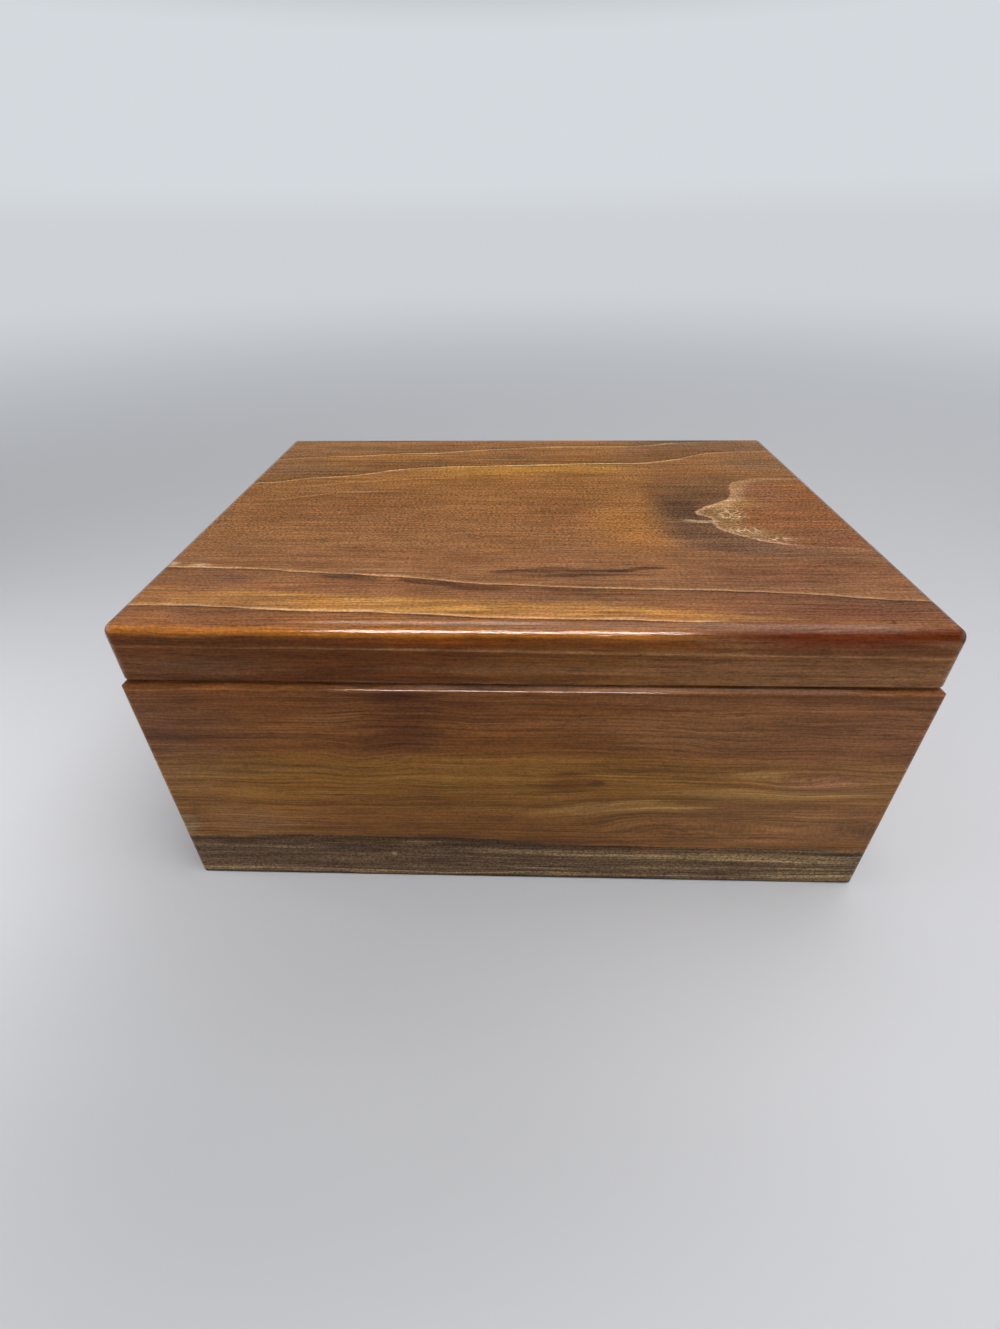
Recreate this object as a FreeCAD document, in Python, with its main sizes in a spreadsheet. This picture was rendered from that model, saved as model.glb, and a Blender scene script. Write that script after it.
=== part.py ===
# A wooden keepsake box: four mitred walls, a grooved-in bottom panel and a solid slab lid,
# hung on two brass butt hinges whose barrels lie in a bevel along the back edge.
# Millimetres. +X is the box's length, +Y points to the back and +Z is up.
# The origin is on the table, under the middle of the box.
import FreeCAD, Part
import Sketcher
import math
import os
import re

# Driving dimensions: the sheet's alias, its value and what it measures.
SIZES = [
    ("BoxLength", 280.0, "outside length of the walls"),
    ("BoxDepth", 216.0, "outside depth of the walls, front to back"),
    ("BodyHeight", 103.5, "height of the walls, and of the plane where the lid shuts"),
    ("WallThickness", 14.0, "thickness of the wall boards"),
    ("CornerRound", 2.5, "sanded round on the upright corners of the walls"),
    ("RimDrop", 2.5, "height of the bevel along the outer top edge of the walls"),
    ("RimSlope", 3.2, "width of that bevel, measured flat"),
    ("RimRound", 0.7, "round where that bevel meets the face of the wall"),
    ("InnerEase", 0.8, "ease on the inner top edge of the walls"),
    ("FootEase", 0.6, "ease on the outer bottom edge of the walls"),
    ("BottomThickness", 6.0, "thickness of the bottom panel"),
    ("BottomRaise", 6.0, "height of the bottom panel above the table"),
    ("GrooveDepth", 5.0, "depth of the groove that holds the bottom panel"),
    ("GrooveClearance", 0.25, "room for the bottom panel to move in its groove"),
    ("LidThickness", 21.5, "thickness of the lid slab"),
    ("LidInset", 0.9, "how far the lid's sides stand in from the walls"),
    ("LidCornerRound", 4.0, "round on the upright corners of the lid"),
    ("LidTopRound", 3.6, "round on the top edge of the lid"),
    ("LidUnderEase", 0.5, "ease on the bottom edge of the lid"),
    ("BevelDepth", 3.0, "hinge axis to the back face, which the back bevels take off"),
    ("StopAngle", 100.0, "lid angle, in degrees, at which the back bevels meet"),
    ("StopRelief", 0.4, "degrees still open between the bevels at that angle"),
    ("HingeSpacing", 150.0, "distance between the middles of the two hinges"),
    ("HingeLength", 38.0, "length of a hinge"),
    ("BarrelRadius", 2.2, "outer radius of the hinge barrel"),
    ("BarrelClearance", 0.3, "room round the barrel in the wood and the leaf's notches"),
    ("KnuckleGap", 0.15, "gap between neighbouring knuckles"),
    ("PinRadius", 1.0, "radius of the hinge pin"),
    ("PinClearance", 0.04, "radial running clearance of the pin in its knuckles"),
    ("PinEase", 0.25, "chamfer on the ends of the pin"),
    ("LeafThickness", 1.2, "thickness of a hinge leaf"),
    ("LeafWidth", 9.6, "hinge axis to the free edge of a leaf"),
    ("LeafRecess", 0.15, "how far a leaf lies below the surface of the wood"),
    ("MortiseClearance", 0.1, "room round a leaf in its mortise"),
    ("ScrewPitch", 22.0, "distance between neighbouring screws of a leaf"),
    ("ScrewOffset", 6.0, "hinge axis to the line of screws"),
    ("ScrewHeadRadius", 2.1, "radius of the countersunk head"),
    ("ScrewShankRadius", 1.2, "radius of the shank"),
    ("ScrewLength", 10.0, "length of a screw with its head"),
    ("ScrewTipLength", 3.0, "length of the screw's point"),
    ("ScrewClearance", 0.05, "radial room for a screw in leaf and wood"),
    ("PilotExtra", 0.5, "depth of a pilot hole past the screw's point"),
]
LEAF_SCREWS = 2  # screws in each leaf
KNUCKLES = 3  # knuckles of a hinge, alternately on the body's leaf and the lid's
HINGE_SIDES = {"left": -1, "right": 1}

doc = FreeCAD.newDocument("KeepsakeBox")
sheet = doc.addObject("Spreadsheet::Sheet", "Sizes")
for row, (alias, number, meaning) in enumerate(SIZES, start=1):
    sheet.set(f"A{row}", meaning)
    sheet.set(f"B{row}", str(number))
    sheet.setAlias(f"B{row}", alias)
doc.recompute()
ALIASES = re.compile(r"\b(" + "|".join(alias for alias, _, _ in SIZES) + r")\b")

# Places that several pieces share, as expressions of the sizes.
HINGE_Y = "(BoxDepth / 2 - BevelDepth)"
BEVEL_RISE = "tan((StopAngle + StopRelief) / 2)"
KNUCKLE_PITCH = f"(HingeLength / {KNUCKLES})"
LEAF_BED = "(LeafRecess + LeafThickness)"
ROUND_SAG = f"(1 - {math.sqrt(0.5)})"  # a quarter round's middle, in from its corner, per radius


def sized(expression):
    """The expression as the document reads it, with every size taken from the sheet."""
    return ALIASES.sub(r"Sizes.\1", expression)


def value(expression):
    """What the expression comes to with the sheet's present sizes."""
    return float(sheet.evalExpression(sized(expression)))


def bind(thing, prop, expression):
    thing.setExpression(prop, sized(expression))


def place(thing, x="0", y="0", z="0", axis=(0, 0, 1), turn=0):
    """Puts a sub-part where the expressions say, turned by so many degrees about an axis."""
    spot = FreeCAD.Vector(value(x), value(y), value(z))
    thing.Placement = FreeCAD.Placement(spot, FreeCAD.Rotation(FreeCAD.Vector(*axis), turn))
    for name, expression in (("x", x), ("y", y), ("z", z)):
        bind(thing, f"Placement.Base.{name}", expression)


def new_body(label):
    body = doc.addObject("PartDesign::Body", label)
    body.Label = label
    return body


def origin_feature(body, role):
    return next(item for item in body.Origin.OriginFeatures if item.Role == role)


def new_sketch(body, name, plane, offset="0"):
    """A sketch on one of the body's own planes, moved along that plane's normal."""
    sketch = body.newObject("Sketcher::SketchObject", name)
    sketch.AttachmentSupport = (origin_feature(body, plane), [""])
    sketch.MapMode = "FlatFace"
    bind(sketch, "AttachmentOffset.Base.z", offset)
    return sketch


def fix_point(sketch, geometry, end, x, y):
    """Ties one point of the sketch to two expressions, measured from the sketch's origin."""
    for kind, expression in (("DistanceX", x), ("DistanceY", y)):
        tie = Sketcher.Constraint(kind, -1, 1, geometry, end, value(expression))
        index = sketch.addConstraint(tie)
        bind(sketch, f"Constraints[{index}]", expression)


def draw_outline(sketch, corners, rounds=None):
    """A closed outline through the corners, with straight sides except where rounds names,
    by the number of the corner that a side starts from, the centre and radius of an arc."""
    rounds = rounds or {}
    spots = [FreeCAD.Vector(value(x), value(y), 0) for x, y in corners]
    sides = []
    for number, start in enumerate(spots):
        end = spots[(number + 1) % len(spots)]
        if number in rounds:
            centre_x, centre_y, radius = rounds[number]
            centre = FreeCAD.Vector(value(centre_x), value(centre_y), 0)
            circle = Part.Circle(centre, FreeCAD.Vector(0, 0, 1), value(radius))
            side = Part.ArcOfCircle(circle, circle.parameter(start), circle.parameter(end))
        else:
            side = Part.LineSegment(start, end)
        sides.append(sketch.addGeometry(side))
    for number, side in enumerate(sides):
        following = sides[(number + 1) % len(sides)]
        sketch.addConstraint(Sketcher.Constraint("Coincident", side, 2, following, 1))
    for side, (x, y) in zip(sides, corners):
        fix_point(sketch, side, 1, x, y)
    for number, (_, _, radius) in rounds.items():
        index = sketch.addConstraint(Sketcher.Constraint("Radius", sides[number], value(radius)))
        bind(sketch, f"Constraints[{index}]", radius)


def draw_circle(sketch, x, y, radius):
    centre = FreeCAD.Vector(value(x), value(y), 0)
    circle = sketch.addGeometry(Part.Circle(centre, FreeCAD.Vector(0, 0, 1), value(radius)))
    index = sketch.addConstraint(Sketcher.Constraint("Radius", circle, value(radius)))
    bind(sketch, f"Constraints[{index}]", radius)
    fix_point(sketch, circle, 3, x, y)


def rectangle(x_low, x_high, y_low, y_high):
    return [(x_low, y_low), (x_high, y_low), (x_high, y_high), (x_low, y_high)]


def sweep(body, kind, name, sketch, length, reversed_way=False, symmetric=False):
    """A Pad or a Pocket of the sketch, one way or to both sides alike."""
    feature = body.newObject(f"PartDesign::{kind}", name)
    feature.Profile = sketch
    feature.Reversed = reversed_way
    if symmetric:
        feature.SideType = "Symmetric"
    bind(feature, "Length", length)
    doc.recompute()
    return feature


def soften(body, kind, name, size, wanted):
    """Takes the sharpness off the edges of the body so far whose middle the test picks,
    with a Fillet where the round shows and a Chamfer where the edge is only broken."""
    base = body.Tip
    edges = base.Shape.Edges
    middles = [edge.valueAt((edge.FirstParameter + edge.LastParameter) / 2) for edge in edges]
    feature = body.newObject(f"PartDesign::{kind}", name)
    feature.Base = (base, [f"Edge{i}" for i, spot in enumerate(middles, start=1) if wanted(spot)])
    bind(feature, "Radius" if kind == "Fillet" else "Size", size)
    doc.recompute()
    return feature


def cut_bevel(body, name, plane, edge, way, length):
    """Takes a bevel off an edge: it starts at the hinge axis and falls towards the back."""
    start = f"({edge} - BevelDepth)"
    past = "(BevelDepth + WallThickness)"
    run = f"({start} + {past})"
    corners = [
        (f"{way} * {start}", "BodyHeight"),
        (f"{way} * {run}", f"BodyHeight - {past} * {BEVEL_RISE}"),
        (f"{way} * {run}", "BodyHeight + LidThickness"),
        (f"{way} * {start}", "BodyHeight + LidThickness"),
    ]
    sketch = new_sketch(body, f"{name}Outline", plane)
    draw_outline(sketch, corners)
    return sweep(body, "Pocket", name, sketch, length, symmetric=True)


def cut_hinge_seats(body, axis_y, inward, into_lid):
    """Mortises, barrel hollows and pilot holes for the two hinges, in a board whose hinge
    axis is at axis_y and whose leaf lies on the inward side of it."""
    half = "(HingeLength / 2 + MortiseClearance)"
    middle = "(HingeSpacing / 2)"
    reach = f"({axis_y} + {inward} * (LeafWidth + MortiseClearance))"
    mortise = new_sketch(body, "MortiseOutline", "XY_Plane", "BodyHeight")
    draw_outline(mortise, rectangle(f"{middle} - {half}", f"{middle} + {half}", axis_y, reach))
    bed = sweep(body, "Pocket", "Mortise", mortise, LEAF_BED, into_lid)

    hollow_start = f"{middle} - HingeLength / 2 - BarrelClearance"
    hollow = new_sketch(body, "BarrelHollowOutline", "YZ_Plane", hollow_start)
    draw_circle(hollow, axis_y, "BodyHeight", "BarrelRadius + BarrelClearance")
    trough = sweep(body, "Pocket", "BarrelHollow", hollow, "HingeLength + 2 * BarrelClearance", True)

    pilots = new_sketch(body, "PilotOutline", "XY_Plane", "BodyHeight")
    screw_y = f"{axis_y} + {inward} * ScrewOffset"
    for number in range(LEAF_SCREWS):
        along = f"{middle} + ({number - (LEAF_SCREWS - 1) / 2}) * ScrewPitch"
        draw_circle(pilots, along, screw_y, "ScrewShankRadius + ScrewClearance")
    pilot_depth = "LeafRecess + ScrewLength + PilotExtra"
    holes = sweep(body, "Pocket", "PilotHoles", pilots, pilot_depth, into_lid)

    mirror = body.newObject("PartDesign::Mirrored", "OtherHingeSeat")
    mirror.Originals = [bed, trough, holes]
    mirror.MirrorPlane = (origin_feature(body, "YZ_Plane"), [""])
    body.Tip = mirror
    doc.recompute()


def make_wall(label, run, half, turn, rim=True):
    """A mitred wall board, drawn as a front wall along X and turned to its place.
    run is the box's outside length along the wall, half its distance from the middle."""
    body = new_body(label)
    outer = f"-{half}"
    inner = f"({outer} + WallThickness)"
    end = f"({run} / 2)"
    corners = [
        (f"-({end} - CornerRound)", outer),
        (f"{end} - CornerRound", outer),
        (f"{end} - CornerRound * {ROUND_SAG}", f"{outer} + CornerRound * {ROUND_SAG}"),
        (f"{end} - WallThickness", inner),
        (f"-({end} - WallThickness)", inner),
        (f"-({end} - CornerRound * {ROUND_SAG})", f"{outer} + CornerRound * {ROUND_SAG}"),
    ]
    centre_y = f"{outer} + CornerRound"
    rounds = {
        1: (f"{end} - CornerRound", centre_y, "CornerRound"),
        5: (f"-({end} - CornerRound)", centre_y, "CornerRound"),
    }
    plan = new_sketch(body, "PlanOutline", "XY_Plane")
    draw_outline(plan, corners, rounds)
    sweep(body, "Pad", "Board", plan, "BodyHeight")

    top = value("BodyHeight")
    outer_limit = value(f"{outer} + CornerRound / 2")
    inner_y = value(inner)

    bevel_foot = value("BodyHeight - RimDrop")
    bevel_middle = value("BodyHeight - RimDrop / 2")

    def outer_edge(at, low, high):
        return low - 1e-6 < at.z < high + 1e-6 and at.y < outer_limit

    def inner_edge(at):
        return abs(at.z - top) < 1e-6 and abs(at.y - inner_y) < 1e-6

    if rim:
        bevel = new_sketch(body, "RimBevelOutline", "YZ_Plane")
        rim_start = f"{outer} + RimSlope"
        rim_past = f"{outer} - RimSlope"
        draw_outline(
            bevel,
            [
                (rim_start, "BodyHeight"),
                (rim_start, "BodyHeight + RimDrop"),
                (rim_past, "BodyHeight + RimDrop"),
                (rim_past, "BodyHeight - 2 * RimDrop"),
            ],
        )
        sweep(body, "Pocket", "RimBevel", bevel, f"2 * {run}", symmetric=True)
        soften(body, "Fillet", "RimRounding", "RimRound", lambda at: outer_edge(at, bevel_foot, bevel_middle))
        soften(body, "Chamfer", "InnerEasing", "InnerEase", inner_edge)
    soften(body, "Chamfer", "FootEasing", "FootEase", lambda at: outer_edge(at, 0, 0))

    groove = new_sketch(body, "GrooveOutline", "YZ_Plane")
    groove_floor = f"{inner} - GrooveDepth"
    groove_top = "BottomRaise + BottomThickness + GrooveClearance"
    draw_outline(groove, rectangle(groove_floor, f"{inner} + GrooveDepth", "BottomRaise", groove_top))
    sweep(body, "Pocket", "PanelGroove", groove, f"2 * {run}", symmetric=True)
    place(body, turn=turn)
    return body


def make_walls():
    front = make_wall("front_wall", "BoxLength", "(BoxDepth / 2)", 0)
    right = make_wall("right_wall", "BoxDepth", "(BoxLength / 2)", 90)
    back = make_wall("back_wall", "BoxLength", "(BoxDepth / 2)", 180, rim=False)
    left = make_wall("left_wall", "BoxDepth", "(BoxLength / 2)", 270)
    # The back bevel runs through the back wall and nips the back ends of the side walls.
    cut_bevel(right, "BackBevel", "XZ_Plane", "(BoxDepth / 2)", 1, "2 * BoxLength")
    cut_bevel(left, "BackBevel", "XZ_Plane", "(BoxDepth / 2)", -1, "2 * BoxLength")
    cut_bevel(back, "BackBevel", "YZ_Plane", "(BoxDepth / 2)", -1, "2 * BoxLength")
    cut_hinge_seats(back, f"-{HINGE_Y}", 1, False)
    return [front, right, back, left]


def make_bottom_panel():
    panel = doc.addObject("Part::Box", "bottom_panel")
    panel.Label = "bottom_panel"
    tongue = "(GrooveDepth - GrooveClearance - WallThickness)"
    length = f"(BoxLength + 2 * {tongue})"
    width = f"(BoxDepth + 2 * {tongue})"
    bind(panel, "Length", length)
    bind(panel, "Width", width)
    bind(panel, "Height", "BottomThickness")
    place(panel, f"-{length} / 2", f"-{width} / 2", "BottomRaise")
    return panel


def make_lid():
    body = new_body("lid_board")
    half_x = "(BoxLength / 2 - LidInset)"
    half_y = "(BoxDepth / 2 - LidInset)"
    corners, rounds = [], {}
    for sign_x, sign_y, x_first in ((1, -1, True), (1, 1, False), (-1, 1, True), (-1, -1, False)):
        near_x = (f"{sign_x} * ({half_x} - LidCornerRound)", f"{sign_y} * {half_y}")
        near_y = (f"{sign_x} * {half_x}", f"{sign_y} * ({half_y} - LidCornerRound)")
        rounds[len(corners)] = (near_x[0], near_y[1], "LidCornerRound")
        corners += [near_x, near_y] if x_first else [near_y, near_x]
    plan = new_sketch(body, "PlanOutline", "XY_Plane", "BodyHeight")
    draw_outline(plan, corners, rounds)
    sweep(body, "Pad", "Slab", plan, "LidThickness")
    top = value("BodyHeight + LidThickness")
    under = value("BodyHeight")
    soften(body, "Fillet", "TopRounding", "LidTopRound", lambda at: abs(at.z - top) < 1e-6)
    soften(body, "Chamfer", "UnderEasing", "LidUnderEase", lambda at: abs(at.z - under) < 1e-6)

    bevel = new_sketch(body, "BackBevelOutline", "YZ_Plane")
    past = f"({HINGE_Y} + 2 * BevelDepth)"
    draw_outline(
        bevel,
        [
            (HINGE_Y, "BodyHeight"),
            (HINGE_Y, "BodyHeight - BevelDepth"),
            (past, "BodyHeight - BevelDepth"),
            (past, f"BodyHeight + 2 * BevelDepth * {BEVEL_RISE}"),
        ],
    )
    sweep(body, "Pocket", "BackBevel", bevel, "2 * BoxLength", symmetric=True)
    cut_hinge_seats(body, HINGE_Y, -1, True)
    return body


def make_leaf(label, side, own, turn):
    """A hinge leaf with the knuckles whose numbers own lists. It is drawn under the hinge
    axis, as the body's leaf lies, and the lid's leaf is the same turned over."""
    body = new_body(label)
    joined = "(BarrelRadius + PinRadius) / 2"
    notched = "BarrelRadius + BarrelClearance"
    back_edge = []
    for number in range(KNUCKLES):
        low = f"(-HingeLength / 2 + {number} * {KNUCKLE_PITCH})"
        high = f"(-HingeLength / 2 + {number + 1} * {KNUCKLE_PITCH})"
        # A notch takes the gaps beside its knuckle, so the leaf's own knuckles stand clear.
        widen = -1 if number in own else 1
        low_gap = f"{low} - {0 if number == 0 else widen} * KnuckleGap / 2"
        high_gap = f"{high} + {0 if number == KNUCKLES - 1 else widen} * KnuckleGap / 2"
        edge_y = f"-({joined if number in own else notched})"
        back_edge += [(low_gap, edge_y), (high_gap, edge_y)]
    free_edge = [("HingeLength / 2", "-LeafWidth"), ("-HingeLength / 2", "-LeafWidth")]
    plan = new_sketch(body, "LeafOutline", "XY_Plane", "-LeafRecess")
    draw_outline(plan, back_edge + free_edge)
    sweep(body, "Pad", "Leaf", plan, "LeafThickness", True)

    first_start = f"-HingeLength / 2 + {own[0]} * {KNUCKLE_PITCH} + KnuckleGap / 2"
    ring = new_sketch(body, "KnuckleOutline", "YZ_Plane", first_start)
    draw_circle(ring, "0", "0", "BarrelRadius")
    draw_circle(ring, "0", "0", "PinRadius + PinClearance")
    knuckle = sweep(body, "Pad", "Knuckle", ring, f"{KNUCKLE_PITCH} - KnuckleGap")
    if len(own) > 1:
        row_of_knuckles = body.newObject("PartDesign::LinearPattern", "KnuckleRow")
        row_of_knuckles.Originals = [knuckle]
        row_of_knuckles.Direction = (origin_feature(body, "X_Axis"), [""])
        row_of_knuckles.Occurrences = len(own)
        bind(row_of_knuckles, "Length", f"{own[-1] - own[0]} * {KNUCKLE_PITCH}")
        body.Tip = row_of_knuckles
        doc.recompute()

    screws = new_sketch(body, "ScrewHoleOutline", "XY_Plane", "-LeafRecess")
    for number in range(LEAF_SCREWS):
        along = f"({number - (LEAF_SCREWS - 1) / 2}) * ScrewPitch"
        draw_circle(screws, along, "-ScrewOffset", "ScrewShankRadius + ScrewClearance")
    doc.recompute()
    hole = body.newObject("PartDesign::Hole", "ScrewHoles")
    hole.Profile = screws
    hole.DepthType = "ThroughAll"
    hole.HoleCutType = "Countersink"
    hole.HoleCutCustomValues = True
    hole.HoleCutCountersinkAngle = 90
    bind(hole, "Diameter", "2 * (ScrewShankRadius + ScrewClearance)")
    bind(hole, "HoleCutDiameter", "2 * (ScrewHeadRadius + ScrewClearance)")
    doc.recompute()
    place(body, f"{side} * HingeSpacing / 2", HINGE_Y, "BodyHeight", (0, 1, 0), turn)
    return body


def make_pin(label, side):
    body = new_body(label)
    half = "(HingeLength / 2)"
    profile = new_sketch(body, "PinOutline", "XY_Plane")
    draw_outline(
        profile,
        [
            (f"-{half}", "0"),
            (half, "0"),
            (half, "PinRadius - PinEase"),
            (f"{half} - PinEase", "PinRadius"),
            (f"-({half} - PinEase)", "PinRadius"),
            (f"-{half}", "PinRadius - PinEase"),
        ],
    )
    turned = body.newObject("PartDesign::Revolution", "Pin")
    turned.Profile = profile
    turned.ReferenceAxis = (origin_feature(body, "X_Axis"), [""])
    turned.Angle = 360
    doc.recompute()
    place(body, f"{side} * HingeSpacing / 2", HINGE_Y, "BodyHeight")
    return body


def make_screws(label, side, turn, face_z):
    """The countersunk screws of one leaf, drawn with their heads level at the origin."""
    body = new_body(label)
    first = f"-{(LEAF_SCREWS - 1) / 2} * ScrewPitch"
    profile = new_sketch(body, "ScrewOutline", "XZ_Plane")
    neck = "-(ScrewHeadRadius - ScrewShankRadius)"
    draw_outline(
        profile,
        [
            (first, "0"),
            (first, "-ScrewLength"),
            (f"{first} + ScrewShankRadius", "-(ScrewLength - ScrewTipLength)"),
            (f"{first} + ScrewShankRadius", neck),
            (f"{first} + ScrewHeadRadius", "0"),
        ],
    )
    turned = body.newObject("PartDesign::Revolution", "Screw")
    turned.Profile = profile
    turned.ReferenceAxis = (profile, ["Edge1"])
    turned.Angle = 360
    doc.recompute()

    row_of_screws = body.newObject("PartDesign::LinearPattern", "ScrewRow")
    row_of_screws.Originals = [turned]
    row_of_screws.Direction = (origin_feature(body, "X_Axis"), [""])
    row_of_screws.Occurrences = LEAF_SCREWS
    bind(row_of_screws, "Length", f"{LEAF_SCREWS - 1} * ScrewPitch")
    body.Tip = row_of_screws
    doc.recompute()
    place(body, f"{side} * HingeSpacing / 2", f"{HINGE_Y} - ScrewOffset", face_z, (0, 1, 0), turn)
    return body


def make_hinges():
    pieces = []
    on_body = list(range(0, KNUCKLES, 2))
    on_lid = list(range(1, KNUCKLES, 2))
    for side_name, side in HINGE_SIDES.items():
        pieces.append(make_leaf(f"{side_name}_hinge_body_leaf", side, on_body, 0))
        pieces.append(make_leaf(f"{side_name}_hinge_lid_leaf", side, on_lid, 180))
        pieces.append(make_pin(f"{side_name}_hinge_pin", side))
        pieces.append(make_screws(f"{side_name}_body_leaf_screws", side, 0, "BodyHeight - LeafRecess"))
        pieces.append(make_screws(f"{side_name}_lid_leaf_screws", side, 180, "BodyHeight + LeafRecess"))
    return pieces


def export(pieces):
    """Writes one STEP file per sub-part, once every object has been built without a fault."""
    doc.recompute()
    faults = [thing.Name for thing in doc.Objects if {"Invalid", "Error"} & set(thing.State)]
    faults += [piece.Label for piece in pieces if piece.Shape.isNull() or not piece.Shape.isValid()]
    if faults:
        raise SystemExit(f"these objects failed: {', '.join(faults)}")
    os.makedirs("parts", exist_ok=True)
    for piece in pieces:
        piece.Shape.exportStep(f"parts/{piece.Label}.step")
        print(f"{piece.Label}: {len(piece.Shape.Solids)} solids, {piece.Shape.Volume:.1f} mm3")


export([*make_walls(), make_bottom_panel(), make_lid(), *make_hinges()])
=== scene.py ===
import math

import bmesh
import bpy
from mathutils import Matrix, Vector


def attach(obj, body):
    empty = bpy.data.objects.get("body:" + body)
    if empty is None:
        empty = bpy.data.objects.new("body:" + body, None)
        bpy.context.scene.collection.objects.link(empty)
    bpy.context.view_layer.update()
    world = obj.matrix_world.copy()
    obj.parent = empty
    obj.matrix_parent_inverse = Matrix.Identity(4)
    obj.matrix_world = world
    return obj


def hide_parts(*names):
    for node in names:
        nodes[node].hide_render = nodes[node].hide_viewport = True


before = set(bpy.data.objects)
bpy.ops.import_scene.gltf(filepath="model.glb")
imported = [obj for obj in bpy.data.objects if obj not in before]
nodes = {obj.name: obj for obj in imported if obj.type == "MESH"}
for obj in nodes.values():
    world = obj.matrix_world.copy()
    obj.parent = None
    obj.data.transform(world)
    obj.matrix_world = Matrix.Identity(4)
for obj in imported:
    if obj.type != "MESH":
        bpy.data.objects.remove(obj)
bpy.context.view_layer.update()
print("frame loaded with", len(nodes), "nodes")


# camera: fitted to the edges of the box, so it stands close and wide
viewpoint = {
    "place": (-0.00284, -0.27353, 0.23015),
    "turn": 2.02,       # degrees to the left
    "tilt": 35.39,      # degrees down
    "roll": -0.645,
    "lens": 16.82,      # mm on a 36 mm long side
    "sensor": 36,
}


def setCamera():
    lens = bpy.data.cameras.new("boxCamera")
    lens.lens = viewpoint["lens"]
    lens.sensor_width = viewpoint["sensor"]
    lens.clip_start = 0.01
    camera = bpy.data.objects.new("boxCamera", lens)
    bpy.context.scene.collection.objects.link(camera)
    turn = Matrix.Rotation(math.radians(viewpoint["turn"]), 4, "Z")
    tilt = Matrix.Rotation(math.radians(90 - viewpoint["tilt"]), 4, "X")
    roll = Matrix.Rotation(math.radians(viewpoint["roll"]), 4, "Z")
    camera.matrix_world = Matrix.Translation(viewpoint["place"]) @ turn @ tilt @ roll
    bpy.context.scene.camera = camera
    print("camera set")


setCamera()


# small helpers for the node tree on the bench; every length in them is in millimetres
bench = {"tree": None}


def addNode(kind, **settings):
    node = bench["tree"].nodes.new(kind)
    for name, setting in settings.items():
        setattr(node, name, setting)
    return node


def plug(socket, item):
    if isinstance(item, bpy.types.NodeSocket):
        bench["tree"].links.new(item, socket)
    else:
        socket.default_value = item


def calc(operation, *items, clamp=False):
    node = addNode("ShaderNodeMath", operation=operation, use_clamp=clamp)
    for socket, item in zip(node.inputs, items):
        plug(socket, item)
    return node.outputs[0]


def times(first, *others):
    for other in others:
        first = calc("MULTIPLY", first, other)
    return first


def plus(first, second):
    return calc("ADD", first, second)


def minus(first, second):
    return calc("SUBTRACT", first, second)


def remap(item, low, high, newLow=0, newHigh=1, smooth=True):
    node = addNode("ShaderNodeMapRange")
    node.interpolation_type = "SMOOTHSTEP" if smooth else "LINEAR"
    labels = ("Value", "From Min", "From Max", "To Min", "To Max")
    for label, value in zip(labels, (item, low, high, newLow, newHigh)):
        plug(node.inputs[label], value)
    return node.outputs[0]


def within(item, low, high, edge):
    rise = remap(item, low - edge, low + edge)
    fall = remap(item, high - edge, high + edge, 1, 0)
    return times(rise, fall)


def tint(factor, under, over, blend="MIX"):
    node = addNode("ShaderNodeMix", data_type="RGBA", blend_type=blend)
    plug(node.inputs[0], factor)
    plug(node.inputs[6], under if isinstance(under, bpy.types.NodeSocket) else (*under, 1))
    plug(node.inputs[7], over if isinstance(over, bpy.types.NodeSocket) else (*over, 1))
    return node.outputs[2]


def packVector(x, y, z):
    node = addNode("ShaderNodeCombineXYZ")
    for socket, item in zip(node.inputs, (x, y, z)):
        plug(socket, item)
    return node.outputs[0]


def darken(wood, shade):
    return tint(1, wood, packVector(shade, shade, shade), "MULTIPLY")


def axesOf(spot):
    node = addNode("ShaderNodeSeparateXYZ")
    plug(node.inputs[0], spot)
    return node.outputs


def stretch(vector, scale):
    node = addNode("ShaderNodeMapping")
    plug(node.inputs["Vector"], vector)
    plug(node.inputs["Scale"], scale)
    return node.outputs[0]


def cloud(vector, detail=3, rough=0.5, bend=0):
    node = addNode("ShaderNodeTexNoise")
    plug(node.inputs["Vector"], vector)
    plug(node.inputs["Scale"], 1)
    plug(node.inputs["Detail"], detail)
    plug(node.inputs["Roughness"], rough)
    plug(node.inputs["Distortion"], bend)
    return node.outputs["Fac"]


def sway(vector, scale, reach):
    # a slow push to either side, at most about half of reach
    wave = cloud(stretch(vector, scale), 2)
    return times(minus(wave, 0.5), reach)


def followCurve(item, points):
    # a drawn line: the height at each place along it
    places = [place for place, height in points]
    heights = [height for place, height in points]
    first, last = min(places), max(places)
    margin = 0.05 * (max(heights) - min(heights))
    low, high = min(heights) - margin, max(heights) + margin
    node = addNode("ShaderNodeFloatCurve")
    curve = node.mapping.curves[0]
    spots = [((place - first) / (last - first), (height - low) / (high - low)) for place, height in points]
    curve.points[0].location = spots[0]
    curve.points[1].location = spots[-1]
    for spot in spots[1:-1]:
        curve.points.new(*spot)
    node.mapping.update()
    plug(node.inputs["Value"], remap(item, first, last, smooth=False))
    return remap(node.outputs[0], 0, 1, low, high, smooth=False)


def toneRamp(item, tones, high):
    # tones: (height, colour) from the lowest to the highest
    ramp = addNode("ShaderNodeValToRGB")
    for place, tone in tones[1:-1]:
        ramp.color_ramp.elements.new(place / high)
    for element, (place, tone) in zip(ramp.color_ramp.elements, tones):
        element.position = place / high
        element.color = (*tone, 1)
    plug(ramp.inputs[0], calc("DIVIDE", item, high))
    return ramp.outputs[0]


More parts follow.
